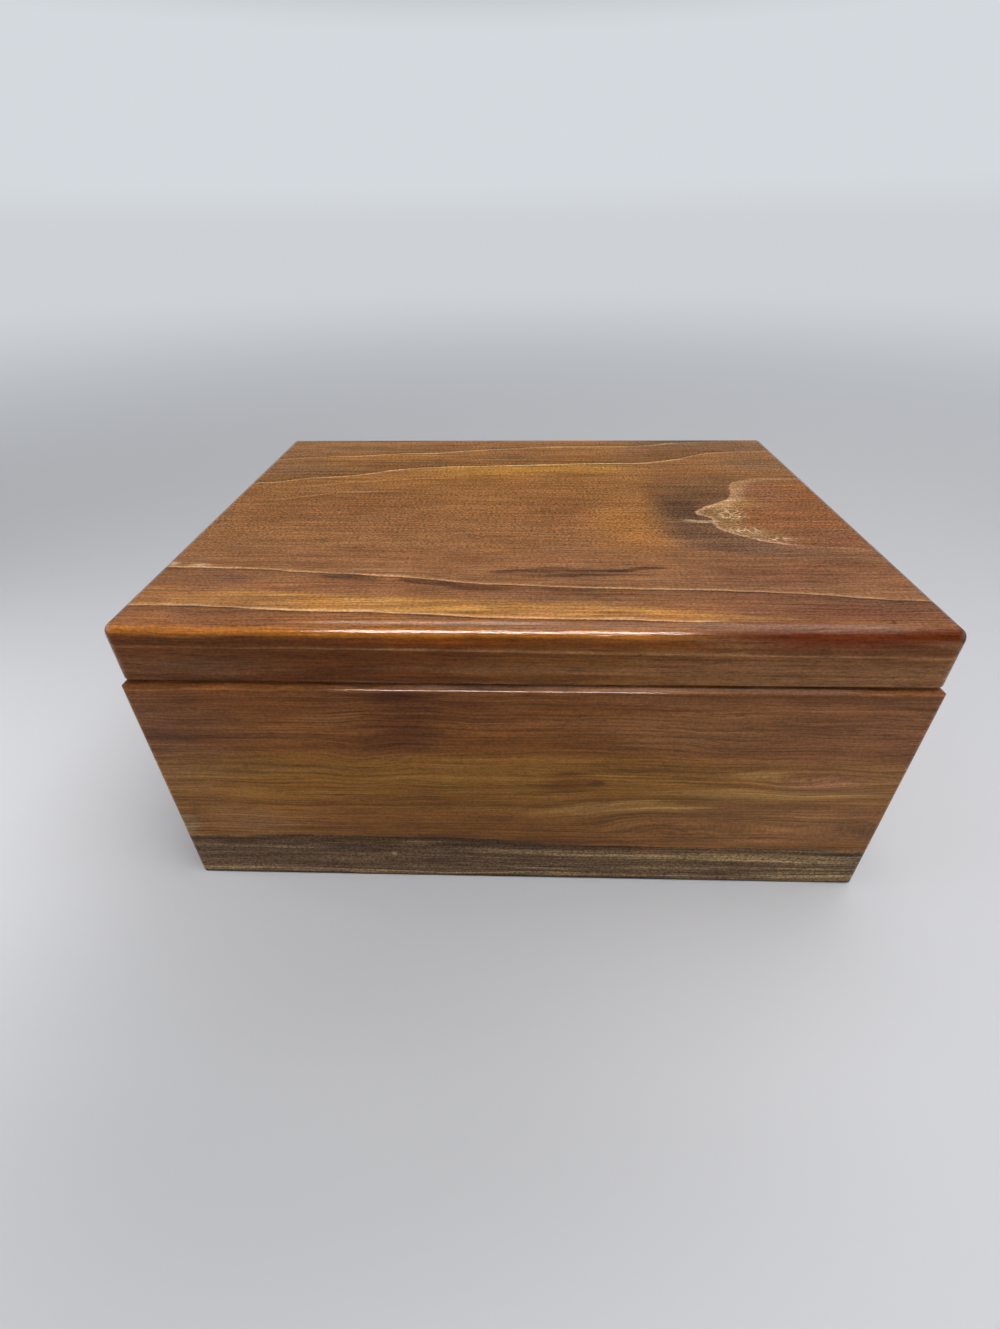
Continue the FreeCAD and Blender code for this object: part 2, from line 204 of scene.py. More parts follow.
def newGroup(name, inputs, outputs):
    tree = bench["tree"] = bpy.data.node_groups.new(name, "ShaderNodeTree")
    for label, start in inputs.items():
        kind = "NodeSocketVector" if isinstance(start, tuple) else "NodeSocketFloat"
        socket = tree.interface.new_socket(label, in_out="INPUT", socket_type=kind)
        socket.default_value = start
    for label in outputs:
        tree.interface.new_socket(label, in_out="OUTPUT", socket_type="NodeSocketFloat")
    return tree, addNode("NodeGroupInput").outputs, addNode("NodeGroupOutput").inputs


def useGroup(group, **items):
    node = addNode("ShaderNodeGroup", node_tree=group)
    for label, item in items.items():
        plug(node.inputs[label], item)
    return node.outputs


# the noises of straight grain: cells per millimetre along, across and into the board, how each
# is mixed, and the range of it that counts
grainNoises = {
    "bands": {"cells": (0.006, 0.16, 0.10), "mix": (3, 0.55, 0.25), "range": (0.3, 0.7)},
    "pores": {"cells": (0.14, 1.7, 1.7), "mix": (2,), "range": (0.57, 0.68)},
    "Streak": {"cells": (0.026, 1, 0.8), "mix": (5, 0.65, 0.15), "range": (0.3, 0.7)},
    "Thread": {"cells": (0.012, 0.42, 0.30), "mix": (4, 0.6, 0.1), "range": (0.3, 0.7)},
    "Hair": {"cells": (0.011, 1.25, 1), "mix": (4, 0.75, 0.1), "range": (0.34, 0.66)},
    "Speckle": {"cells": (0.85, 1.15, 1.15), "mix": (2, 0.7), "range": (0.34, 0.66)},
    "Mottle": {"cells": (0.04, 0.09, 0.09), "mix": (3, 0.6), "range": (0.3, 0.7)},
}


def makeFibreGroup():
    # broad bands, and a shade of streaks, threads, hair lines, fleck, slow mottle and short pores
    amounts = {"Streak": 0.2, "Thread": 0, "Hair": 0.2, "Speckle": 0.1, "Mottle": 0.1}
    inputs = {"Along": 0, "Across": 0, "Depth": 0, "Seed": 0, "Pore": 0.2, **amounts}
    tree, start, end = newGroup("woodFibre", inputs, ("Bands", "Shade"))
    along = plus(start["Along"], start["Seed"])
    spot = packVector(along, start["Across"], start["Depth"])

    def grainNoise(name, *newRange, smooth=True):
        noise = grainNoises[name]
        field = cloud(stretch(spot, noise["cells"]), *noise["mix"])
        return remap(field, *noise["range"], *newRange, smooth=smooth)

    plug(end["Bands"], grainNoise("bands"))
    shade = minus(1, times(grainNoise("pores"), start["Pore"]))
    for label in amounts:
        swing = grainNoise(label, -1, 1, smooth=False)
        shade = times(shade, calc("MULTIPLY_ADD", swing, start[label], 1))
    plug(end["Shade"], shade)
    return tree


def makeYearLineGroup():
    # where one year's wood stops: a pale line, a thin broken seam, and dark wood that fades away
    inputs = {"Offset": 0, "Width": 1, "Side": 1, "Reach": 8, "Along": 0, "Seed": 0}
    tree, start, end = newGroup("yearLine", inputs, ("Line", "Seam", "Shade"))
    run = packVector(times(start["Along"], 0.05), start["Seed"], 0)
    uneven = cloud(run, 3, 0.6)
    wide = times(start["Width"], remap(uneven, 0.3, 0.7, 0.45, 1.5, smooth=False))
    sided = times(start["Offset"], start["Side"])
    away = calc("DIVIDE", times(sided, -1), wide)
    pale = remap(away, 0, 1.9, 1, 0)
    plug(end["Line"], times(pale, remap(sided, -0.15, 0.40, 1, 0)))
    broken = packVector(times(start["Along"], 0.09), start["Seed"], 4)
    broken = remap(cloud(broken, 3, 0.6), 0.30, 0.50)
    plug(end["Seam"], times(within(sided, 0.35, 1.05, 0.35), broken))
    reach = times(start["Reach"], remap(uneven, 0.3, 0.7, 1.5, 0.5, smooth=False))
    fade = calc("EXPONENT", calc("DIVIDE", times(sided, -1), reach))
    plug(end["Shade"], times(fade, remap(sided, 0, 0.7)))
    return tree


def makeStainGroup():
    # a soft stain, long along the grain, its edge torn by a shared noise
    inputs = {
        "Along": 0, "Across": 0, "Tear": 0.5, "Ragged": 0.5,
        "Middle Along": 0, "Middle Across": 0, "Half Length": 20, "Half Width": 5, "Full": 0.15,
    }
    tree, start, end = newGroup("grainStain", inputs, ("Mask",))
    u = minus(start["Along"], start["Middle Along"])
    v = minus(start["Across"], start["Middle Across"])
    u = calc("DIVIDE", u, start["Half Length"])
    v = calc("DIVIDE", v, start["Half Width"])
    far = calc("SQRT", plus(times(u, u), times(v, v)))
    torn = times(minus(start["Tear"], 0.5), start["Ragged"], 2)
    plug(end["Mask"], remap(plus(far, torn), start["Full"], 1, 1, 0))
    return tree


varnish = {
    "ior": 1.48,
    "gloss": 0.12,
    "bump": 0.6,
    "bumpReach": 0.001,
    # heights in millimetres
    "waves": 0.14,
    "ripple": 0.022,
    "grain": 0.006,
    "nibs": 0.03,
    "smear": (-0.03, 0.05),     # how much smoother or rougher it is from place to place
}


def makeVarnishGroup():
    # brushed varnish: slow waves, grain that shows through and a few dust nibs
    inputs = {"Spot": (0, 0, 0), "Grain": 1, "Dull": 0.2}
    tree, start, end = newGroup("varnishFilm", inputs, ("Height", "Roughness"))
    waves = cloud(stretch(start["Spot"], (0.05, 0.10, 0.10)), 2)
    ripple = cloud(stretch(start["Spot"], (0.55, 0.55, 0.55)), 2)
    nibs = addNode("ShaderNodeTexVoronoi")
    plug(nibs.inputs["Vector"], start["Spot"])
    plug(nibs.inputs["Scale"], 0.13)
    nib = remap(nibs.outputs["Distance"], 0.02, 0.06, 1, 0)
    height = times(waves, varnish["waves"])
    height = calc("MULTIPLY_ADD", ripple, varnish["ripple"], height)
    height = calc("MULTIPLY_ADD", start["Grain"], varnish["grain"], height)
    plug(end["Height"], calc("MULTIPLY_ADD", nib, varnish["nibs"], height))
    smear = cloud(stretch(start["Spot"], (0.02, 0.05, 0.05)), 3, 0.6)
    smear = remap(smear, 0.3, 0.7, *varnish["smear"], smooth=False)
    plug(end["Roughness"], plus(start["Dull"], smear))
    return tree


fibreGroup = makeFibreGroup()
yearLineGroup = makeYearLineGroup()
stainGroup = makeStainGroup()
varnishGroup = makeVarnishGroup()
print("node groups built")


def startMaterial(name):
    material = bpy.data.materials.new(name)
    material.use_nodes = True
    tree = bench["tree"] = material.node_tree
    tree.nodes.clear()
    shader = addNode("ShaderNodeBsdfPrincipled")
    out = addNode("ShaderNodeOutputMaterial")
    tree.links.new(shader.outputs[0], out.inputs["Surface"])
    place = addNode("ShaderNodeTexCoord")
    spot = stretch(place.outputs["Object"], (1000, 1000, 1000))
    return material, shader, spot


def raiseSurface(shader, height, strength, reach):
    bump = addNode("ShaderNodeBump")
    bump.inputs["Strength"].default_value = strength
    bump.inputs["Distance"].default_value = reach
    plug(bump.inputs["Height"], height)
    plug(shader.inputs["Normal"], bump.outputs[0])


def finishWood(shader, spot, wood, shade, dull, crown=0):
    film = useGroup(varnishGroup, Spot=spot, Grain=shade, Dull=dull)
    plug(shader.inputs["Base Color"], darken(wood, shade))
    plug(shader.inputs["Roughness"], film["Roughness"])
    height = plus(film["Height"], crown)
    raiseSurface(shader, height, varnish["bump"], varnish["bumpReach"])
    shader.inputs["IOR"].default_value = varnish["ior"]
    shader.inputs["Specular IOR Level"].default_value = varnish["gloss"]


def ovalMask(along, across, middle, half, **others):
    places = {"Along": along, "Across": across, "Middle Along": middle[0], "Middle Across": middle[1]}
    places.update({"Half Length": half[0], "Half Width": half[1], **others})
    return useGroup(stainGroup, **places)["Mask"]


def stainWood(wood, grain, tones, stains):
    # each stain: tone, middle along, middle across, half length, half width, raggedness, strength,
    # and for a crisp one the part of it that has its full strength
    for tone, along, across, halfLength, halfWidth, ragged, strength, *full in stains:
        others = {"Tear": grain["tear"], "Ragged": ragged}
        if full:
            others["Full"] = full[0]
        half = (halfLength, halfWidth)
        mask = ovalMask(grain["along"], grain["across"], (along, across), half, **others)
        wood = tint(times(mask, strength), wood, tones[tone])
    return wood


lidBoard = {
    "top": 125,
    "halfLength": 140,
    # how far the year rings lean, per mm of depth
    "fall": 0.55,
    "dull": 0.13,
    "edgeDull": 0.21,
    "underDull": 0.42,
    # where the top is sanded hollow behind its front edge, and by how much
    "crown": (-105.5, -101),
    "hollow": -2,
    # millimetres high
    "brushMarks": 0.3,
    # hair lines: on the front face, and on the top
    "grain": {"seed": 37, "streak": 0.24, "hair": (0.26, 0.36), "pore": 0.36, "mottle": 0.16},
    # how strongly the wood is flecked, from the front face to the back edge
    "speckle": [
        (-108, 0.2), (-106.5, 0.22), (-104, 0.28), (-60, 0.36), (-20, 0.64), (40, 0.64), (106, 0.64),
        (107, 0.25), (108, 0.2),
    ],
    # and how coarse its grain is
    "thread": [(-108, 0.2), (-106.5, 0.19), (-103, 0.11), (-40, 0.1), (20, 0.12), (60, 0.36), (108, 0.4)],
    "tones": {
        "toffee": (0.228, 0.095, 0.031), "biscuit": (0.272, 0.114, 0.036), "honey": (0.376, 0.172, 0.038),
        "amber": (0.33, 0.128, 0.03), "gold": (0.52, 0.224, 0.041), "russet": (0.25, 0.087, 0.027),
        "cocoa": (0.174, 0.063, 0.023), "smoke": (0.155, 0.08, 0.032), "umber": (0.1, 0.045, 0.017),
        "soot": (0.066, 0.03, 0.015), "orange": (0.58, 0.186, 0.012), "rose": (0.255, 0.105, 0.05),
        "tan": (0.272, 0.133, 0.043), "cream": (0.63, 0.4, 0.19), "line": (0.68, 0.345, 0.112),
        "ember": (0.256, 0.062, 0.003), "liver": (0.15, 0.045, 0.009), "oxblood": (0.158, 0.021, 0),
        "chestnut": (0.302, 0.134, 0.051), "hazel": (0.22, 0.086, 0.019), "ash": (0.112, 0.062, 0.031),
        "plum": (0.05, 0.021, 0.012), "bark": (0.105, 0.03, 0.004), "haze": (0.15, 0.074, 0.032),
        "blush": (0.5, 0.28, 0.142), "sorrel": (0.158, 0.054, 0.015), "oiled": (0.33, 0.165, 0.07),
        "pencil": (0.48, 0.23, 0.092), "chalk": (1, 1, 1), "thread": (0.64, 0.355, 0.16),
        "peat": (0.118, 0.056, 0.02), "fawn": (0.205, 0.099, 0.044),
    },
    # a painted reflection tint on the top, from the front edge to the back one
    "paintedReflectionFront": (1.06, 1.21, 1.8),
    "paintedReflectionBack": (1.18, 1.19, 0.87),
    # year lines across the top, back is plus: places along the length and across the board,
    # how dark and pale each draws, the stretch that shows, and how much of it is left at both ends
    "yearLines": [
        {
            "points": [
                (-140, 66), (-133, 69), (-118, 72), (-97, 73.7), (-80, 76.7), (-64, 79), (-50, 80),
                (-32, 83.7), (0, 89), (28, 91.8), (60, 92.4), (73, 94.5), (82, 97.7), (104, 100.4),
                (140, 103),
            ],
            "width": 1.35, "side": 1, "reach": 6, "dark": 0.5, "pale": 0.66, "seam": 0.6,
            "shows": (-150, 110), "tone": "thread", "ends": (0.55, 0.6),
        },
        {
            "points": [
                (-140, 22), (-135, 30), (-123, 32.4), (-115, 36), (-106, 38.4), (-95, 40), (-80, 44.8),
                (-69, 50), (-59, 52.7), (-41, 55.3), (-20, 56.7), (8, 58.9), (37, 61), (60, 61.6),
                (69, 63.7), (78, 66.4), (85, 69.7), (92, 74.5), (99, 78.3), (108, 81), (140, 83.2),
            ],
            "width": 1.25, "side": 1, "reach": 9, "dark": 0.63, "pale": 0.98, "seam": 0.9,
            "shows": (-150, 150), "tone": "thread", "ends": (0.5, 0.35),
        },
        {
            "points": [
                (-140, -63.7), (-118, -64.2), (-97, -65.3), (-83, -67.5), (-70, -68), (-56, -69.7),
                (-32, -72.9), (-21, -75.1), (0, -76.8), (27, -78.6), (65, -79.7), (86, -81), (103, -82.6),
                (119, -85.1), (140, -86.5),
            ],
            "width": 0.9, "side": -1, "reach": 4, "dark": 0.55, "pale": 0.6, "seam": 0.85,
            "shows": (-150, 150), "tone": "line", "ends": (0.9, 0.8),
        },
        {
            "points": [
                (-140, -92.2), (-107, -92.9), (-86, -95), (-54, -96.1), (-32, -97.2), (-16, -98.8),
                (32, -99.9), (60, -101), (86, -102), (140, -103.6),
            ],
            "width": 1, "side": -1, "reach": 3, "dark": 0.6, "pale": 0.97, "seam": 0.85,
            "shows": (-150, 60), "tone": "line", "ends": (0.7, 1),
        },
        {
            "points": [(-140, 0), (-115, 7), (-100, 12), (-91, 15.5), (-69, 17.3), (-40, 19)],
            "width": 1.6, "side": -1, "reach": 5, "dark": 0.35, "pale": 0.26, "seam": 0.15,
            "shows": (-118, -62), "tone": "line", "ends": (1, 1),
        },
        {
            "points": [(-140, 14), (-110, 23), (-86, 30), (-54, 35.6), (-20, 39)],
            "width": 1.8, "side": -1, "reach": 4, "dark": 0.25, "pale": 0.22, "seam": 0.1,
            "shows": (-108, -36), "tone": "line", "ends": (1, 1),
        },
    ],
    # soft patches of other tones, in the order they are laid
    "patches": [
        ("honey", -22, 49, 70, 13, 0.6, 0.8), ("honey", 26, 52, 46, 11, 0.6, 0.75),
        ("amber", 44, -24, 24, 40, 0.5, 0.85), ("amber", -70, 36, 56, 14, 0.6, 0.45),
        ("fawn", -118, 50, 44, 18, 0.6, 0.85), ("umber", -62, 60, 36, 9, 0.6, 0.46),
        ("cocoa", -80, 2, 66, 26, 0.5, 0.3), ("cocoa", 10, -6, 28, 34, 0.5, 0.42),
        ("smoke", 118, 95, 34, 12, 0.6, 0.45), ("smoke", 84, 97, 40, 10, 0.4, 0.9),
        ("amber", -64, 73, 26, 6, 0.6, 0.6), ("amber", 20, 101, 70, 6, 0.6, 0.4),
        ("smoke", -52, 90, 26, 7, 0.6, 0.45), ("cocoa", 106, -66, 64, 16, 0.6, 0.6),
        ("russet", -40, -54, 96, 12, 0.8, 0.28), ("umber", -86, -52.5, 14, 1, 0.6, 0.5),
        ("umber", -47, -56, 10, 0.9, 0.6, 0.5), ("umber", -15, -51.5, 14, 0.9, 0.6, 0.45),
        ("umber", -90, -23.5, 14, 0.9, 0.6, 0.4), ("fawn", 125, 62, 32, 20, 0.6, 0.85),
        ("cocoa", 62, 17, 9, 18, 0.5, 0.55), ("umber", 30, 79.5, 16, 1, 0.7, 0.45),
        ("cocoa", 76, 84, 38, 11, 0.6, 0.58), ("smoke", -88, 87, 44, 6, 0.6, 0.4),
    ],
    # back edge of the golden wood, and what lies on it
    "goldEdge": [
        (-140, -79.5), (-100, -81.5), (-60, -84.2), (-20, -87), (10, -88.5), (40, -91.5), (70, -96),
        (140, -100),
    ],
    "frontPatches": [
        ("smoke", -114, -72.5, 40, 7.5, 0.6, 0.45), ("cocoa", 116, -93, 66, 9, 0.5, 0.85),
        ("cocoa", -112, -95.5, 40, 2.4, 0.6, 0.25), ("amber", -36, -101.5, 56, 4.5, 0.6, 0.45),
        ("cocoa", 26, -98.2, 48, 2.2, 0.5, 0.45), ("cocoa", 100, -81, 54, 9, 0.4, 0.6),
        ("cocoa", -100, -102.5, 60, 4, 0.5, 0.6), ("cocoa", 4, -94, 26, 3, 0.6, 0.4),
        ("smoke", 30, -95.6, 12, 1.5, 0.5, 0.7, 0.3), ("haze", 14, -88, 40, 5, 0.8, 0.45),
    ],
    # dark streaks under the third line, placed by the distance from it
    "thirdStreaks": [
        ("haze", 10, -4.2, 44, 5, 0.7, 0.42), ("umber", -65, -2.5, 15, 3.2, 0.35, 0.85, 0.5),
        ("plum", -36, -1.9, 13, 3, 0.2, 0.9, 0.6), ("plum", -19, -3.2, 20, 3.6, 0.4, 0.8, 0.3),
        ("plum", 14, -1.9, 22, 1.8, 0.5, 0.55, 0.3), ("haze", 118, -2.4, 24, 2.6, 0.5, 0.6),
    ],
    # the front face, by height: a pale line, base tones from left to right, then streaks
    "faceLine": {
        "points": [(-140, 117.5), (-60, 117.3), (0, 116.7), (60, 116), (140, 115.3)],
        "width": 0.75, "side": -1, "reach": 1.6, "seed": 21, "dark": 0.55,
    },
    "faceTones": [
        (-140, "liver"), (-70, "liver"), (-30, "liver"), (30, "hazel"), (75, "chestnut"), (140, "chestnut"),
    ],
    "faceStains": [
        ("fawn", -112, 110, 44, 7, 0.6, 0.5), ("bark", -78, 114.2, 34, 4, 0.5, 0.55),
        ("hazel", 0, 107.3, 30, 1.8, 0.6, 0.75), ("ember", -22, 120.2, 62, 2.7, 0.4, 0.95),
        ("bark", -106, 119.8, 44, 2.8, 0.5, 0.7), ("chestnut", 20, 109.6, 92, 3, 0.4, 0.75),
        ("chestnut", 40, 114, 26, 2.6, 0.5, 0.35), ("ember", 44, 119.9, 36, 2.4, 0.5, 0.8),
        ("sorrel", 106, 118, 62, 3.4, 0.4, 0.9, 0.5), ("oxblood", 100, 121.4, 46, 2.8, 0.4, 0.9),
        ("sorrel", 104, 112.4, 42, 1, 0.5, 0.6), ("sorrel", 122, 114.2, 26, 3, 0.5, 0.45),
        ("liver", 18, 107.2, 38, 0.8, 0.5, 0.6), ("liver", -80, 115.6, 40, 0.9, 0.5, 0.5),
        ("hazel", 10, 113.4, 40, 1.4, 0.6, 0.6), ("hazel", -30, 110.4, 34, 1, 0.5, 0.45),
        ("liver", 60, 114.4, 44, 0.8, 0.5, 0.55), ("liver", 96, 108, 36, 0.8, 0.5, 0.45),
    ],
    # left edge of the inclusion, and of the dark wood round it, at each distance across
    "inclusion": [
        (-58, 230), (-49.5, 150), (-47.5, 136), (-44.8, 119), (-43.2, 108), (-40.5, 99.4), (-35.6, 90.7),
        (-30.2, 84.3), (-24.8, 80), (-20.5, 79.4), (-15.1, 80), (-9.2, 74.8), (-2.2, 79), (3.2, 86.4),
        (8.6, 93), (15.1, 96.1), (28.1, 99.4), (32.4, 102.6), (35.6, 109), (37.3, 119), (37.8, 130),
        (40, 170), (46, 230),
    ],
    "halo": [
        (-62, 150), (-56, 122), (-52, 92), (-48.6, 74), (-43.2, 65), (-32.4, 58.5), (-21.6, 56.2),
        (-10.8, 56.2), (4.3, 57), (21.6, 60.5), (41, 67), (50, 75), (60, 90),
    ],
    "coreStains": [
        ("rose", 108, 16, 22, 26, 0.5, 0.9), ("russet", 106, 14, 16, 10, 0.6, 0.4),
        ("rose", 124, -34, 24, 12, 0.5, 0.25), ("cocoa", 108, -38, 40, 12, 0.5, 0.45),
        ("cocoa", 112, -14, 18, 2, 0.7, 0.5),
    ],
    "wormPlaces": [
        ("chalk", 90, -8, 9, 14, 0.6, 0.85), ("chalk", 92, -27, 10, 6, 0.6, 0.75),
        ("chalk", 101, -36, 9, 4, 0.6, 0.6),
    ],
    "haloDepths": [
        ("soot", 69, -3, 18, 22, 0.4, 0.95), ("soot", 70, -31, 15, 17, 0.4, 0.22),
        ("umber", 84, 18, 16, 30, 0.4, 0.1), ("biscuit", 88, -52, 34, 7, 0.6, 0.12),
    ],
    # drawn strokes: a wavy dark one in front, a pale splash at the tip of the inclusion
    "strokes": [
        {
            "points": [
                (-14, -66), (0, -64.9), (10.8, -63.6), (19.4, -66.2), (32.4, -65.9), (40, -63.6),
                (54, -62.3),
            ],
            "tone": "soot", "width": 2.1, "shows": (-13, 52), "strength": 0.8,
        },
        {
            "points": [(64, -17), (70, -17.3), (76, -18.2), (84, -18)],
            "tone": "cream", "width": 1.9, "shows": (69, 82), "strength": 0.9,
        },
        {
            "points": [(60, -19.2), (70, -18.2), (84, -18)],
            "tone": "tan", "width": 1.2, "shows": (60, 80), "strength": 0.6,
        },
    ],
    "streaks": [
        ("haze", 20, -67, 26, 6.4, 0.8, 0.5), ("peat", 21, -67.4, 19, 4.8, 1.2, 0.66, 0.3),
        ("umber", 12, -62.9, 11, 1.3, 0.6, 0.75, 0.3), ("soot", 24, -68.6, 12, 1.3, 0.7, 0.65, 0.3),
        ("soot", 6, -66.4, 9, 1.3, 0.5, 0.7, 0.3), ("umber", 40, -68.3, 13, 1.2, 0.5, 0.75, 0.3),
        ("umber", 3, -69.4, 9, 1.2, 0.5, 0.65), ("soot", 45, -62.9, 9, 1.3, 0.3, 0.8, 0.4),
        ("soot", 34, -64.9, 9, 1.6, 0.4, 0.75, 0.4), ("soot", 22, -65, 13, 1.5, 0.7, 0.6, 0.3),
        ("soot", 14, -69.6, 11, 1.2, 0.5, 0.7, 0.3), ("umber", -4, -65.6, 9, 1, 0.4, 0.6, 0.3),
        ("soot", 117.3, -100, 0.9, 2.2, 0.1, 0.7), ("umber", 70, -62.4, 12, 0.6, 0.5, 0.45),
        ("umber", 84, -76.2, 4, 0.9, 0.5, 0.55), ("cream", -135, -61, 4, 3.4, 0.9, 0.55),
        ("cream", -125, -62, 7, 1.9, 1, 0.6),
    ],
}


def lidGrain(spot):
    # the lid's coordinates: across leans with the year rings, loose wanders more
    x, y, z = axesOf(spot)
    sink = minus(z, lidBoard["top"])
    lean = calc("MULTIPLY_ADD", sink, lidBoard["fall"], y)
    across = plus(lean, sway(spot, (0.10, 0.14, 0.05), 1.3))
    loose = plus(across, sway(spot, (0.012, 0.022, 0.02), 5))
    run = packVector(x, across, sink)
    tear = cloud(stretch(run, (0.05, 0.45, 0.2)), 5, 0.65)
    patchy = cloud(stretch(run, (0.02, 0.30, 0.1)), 4, 0.6)
    return {"spot": spot, "along": x, "back": y, "height": z, "sink": sink, "across": across, "loose": loose,
            "tear": tear, "patchy": patchy}


def lidFibre(grain):
    amounts = lidBoard["grain"]
    back = grain["back"]
    hair = remap(back, -107, -104, *amounts["hair"])
    return useGroup(fibreGroup, Along=grain["along"], Across=grain["loose"], Depth=grain["sink"],
                    Seed=amounts["seed"], Streak=amounts["streak"], Hair=hair, Pore=amounts["pore"],
                    Mottle=amounts["mottle"], Thread=followCurve(back, lidBoard["thread"]),
                    Speckle=followCurve(back, lidBoard["speckle"]))


def findYearLines(grain):
    x = grain["along"]
    marks = []
    for number, line in enumerate(lidBoard["yearLines"]):
        gap = minus(grain["across"], followCurve(x, line["points"]))
        parts = useGroup(yearLineGroup, Offset=gap, Width=line["width"], Side=line["side"],
                         Reach=line["reach"], Along=x, Seed=float(number))
        shows = within(x, *line["shows"], 8)
        mark = {label: times(parts[label], shows) for label in ("Line", "Seam", "Shade")}
        marks.append({"line": line, "gap": gap, **mark})
    return marks


def paintFront(grain, tones, wood, thirdGap, frontGap):
    # golden wood between the third line and the front line, redder wood in front of that
    x = grain["along"]
    front = tint(0.5, wood, tones["russet"])
    golden = minus(grain["across"], followCurve(x, lidBoard["goldEdge"]))
    golden = plus(golden, sway(grain["spot"], (0.05, 0.3, 0.1), 5))
    golden = times(remap(golden, -2.5, 2.5, 1, 0), remap(frontGap, -0.2, 1.6))
    golden = times(golden, remap(grain["patchy"], 0.34, 0.62, 0.30, 1))
    golden = times(golden, remap(x, 20, 100, 1, 0.15), remap(x, -135, -40, 0.38, 1))
    front = tint(golden, front, tones["gold"])
    front = stainWood(front, grain, tones, lidBoard["frontPatches"])
    wood = tint(remap(thirdGap, -1, -0.2, 1, 0), wood, front)
    return stainWood(wood, {**grain, "across": thirdGap}, tones, lidBoard["thirdStreaks"])


def scatterDashes(grain, tones, wood):
    # short dark dashes along the grain, more of them behind the second line
    run = packVector(grain["along"], grain["loose"], grain["sink"])
    dashes = cloud(stretch(run, (0.045, 0.55, 0.3)), 3, 0.55)
    dashes = times(remap(dashes, 0.59, 0.68), remap(grain["back"], 40, 66, 0.32, 0.62))
    return tint(dashes, wood, tones["umber"])


def insideInclusion(grain):
    # distance in from the inclusion's edge, from the edge's own slope
    def edgeAt(shift):
        return followCurve(plus(grain["across"], shift), lidBoard["inclusion"])

    slope = times(minus(edgeAt(1), edgeAt(-1)), 0.5)
    steep = calc("SQRT", calc("MULTIPLY_ADD", slope, slope, 1))
    inside = calc("DIVIDE", minus(grain["along"], edgeAt(0)), steep)
    return plus(inside, sway(grain["spot"], (0.25, 0.35, 0.3), 2.2))


def paintHalo(grain, tones, wood, inside):
    # dark wood round the inclusion, deepest beside its tip
    x, across = grain["along"], grain["across"]
    shadow = minus(x, followCurve(across, lidBoard["halo"]))
    shadow = plus(shadow, sway(grain["spot"], (0.08, 0.12, 0.1), 12))
    shadow = times(remap(shadow, -6, 10), remap(inside, 0, 0.8, 1, 0))
    shadow = times(shadow, remap(across, 10, 52, 1, 0), remap(x, 92, 128, 1, 0.15))
    shadow = times(shadow, remap(grain["patchy"], 0.25, 0.65, 1, 0.70))
    wood = tint(times(shadow, 0.78), wood, tones["ash"])
    return tint(shadow, wood, stainWood(wood, grain, tones, lidBoard["haloDepths"]))


def drawWormLines(grain, tones, core):
    # pale lines between cells about three millimetres wide
    bentX = plus(grain["along"], sway(grain["spot"], (0.3, 0.3, 0.3), 5))
    bentY = plus(grain["across"], sway(grain["spot"], (0.34, 0.27, 0.2), 5))
    cells = addNode("ShaderNodeTexVoronoi", feature="DISTANCE_TO_EDGE")
    plug(cells.inputs["Vector"], packVector(bentX, bentY, 0))
    plug(cells.inputs["Scale"], 0.27)
    worm = remap(cells.outputs["Distance"], 0.03, 0.13, 1, 0)
    where = stainWood((0, 0, 0), grain, tones, lidBoard["wormPlaces"])
    return tint(times(worm, where), core, tones["cream"])


def paintInclusion(grain, tones, wood, inside, bands):
    # brown wood with a rosy flank, tan at the tip, a pale rim and worm lines
    x, across = grain["along"], grain["across"]
    core = tint(bands, tones["russet"], tones["toffee"])
    core = stainWood(core, grain, tones, lidBoard["coreStains"])
    ragged = plus(inside, sway(grain["spot"], (0.14, 0.18, 0.2), 10))
    tip = times(within(across, -37, 9, 5), remap(ragged, 9, 17, 0.95, 0))
    core = tint(tip, core, tones["tan"])
    wide = remap(across, -20, 26, 2.4, 10)
    rim = remap(calc("DIVIDE", inside, wide), 0.15, 1.15, 1, 0)
    fading = calc("MAXIMUM", remap(x, 99, 112, 1, 0.30), remap(across, -10, 10))
    rim = times(rim, fading, remap(across, 4, 24, 1, 0.60))
    core = tint(times(rim, remap(grain["tear"], 0.3, 0.7, 0.75, 1)), core, tones["blush"])
    core = drawWormLines(grain, tones, core)
    return tint(remap(inside, 0, 0.7), wood, core)


def drawStrokes(grain, tones, wood):
    x = grain["along"]
    for stroke in lidBoard["strokes"]:
        gap = minus(grain["across"], followCurve(x, stroke["points"]))
        gap = calc("ABSOLUTE", gap)
        thick = times(remap(grain["tear"], 0.35, 0.65, 0.3, 1.6, smooth=False), stroke["width"])
        drawn = remap(calc("DIVIDE", gap, thick), 0.2, 1, 1, 0)
        drawn = times(drawn, within(x, *stroke["shows"], 3), stroke["strength"])
        wood = tint(drawn, wood, tones[stroke["tone"]])
    return stainWood(wood, grain, tones, lidBoard["streaks"])


def paintRoundedEdge(grain, tones, wood, torn):
    # the rounded edge is sanded thin and painted orange: its own tone and a painted glow of light through
    # the varnish, strongest in the middle; deep red on the right
    x = grain["along"]
    rounded = times(within(torn, 121, 124.6, 0.9), remap(grain["back"], -104, -90, 1, 0.35))
    glow = times(remap(x, -120, -20, 0.62, 0.92), remap(x, 30, 80, 1, 0))
    wood = tint(times(rounded, glow), wood, tones["orange"])
    return tint(times(rounded, remap(x, 40, 85, 0, 0.85)), wood, tones["oxblood"])


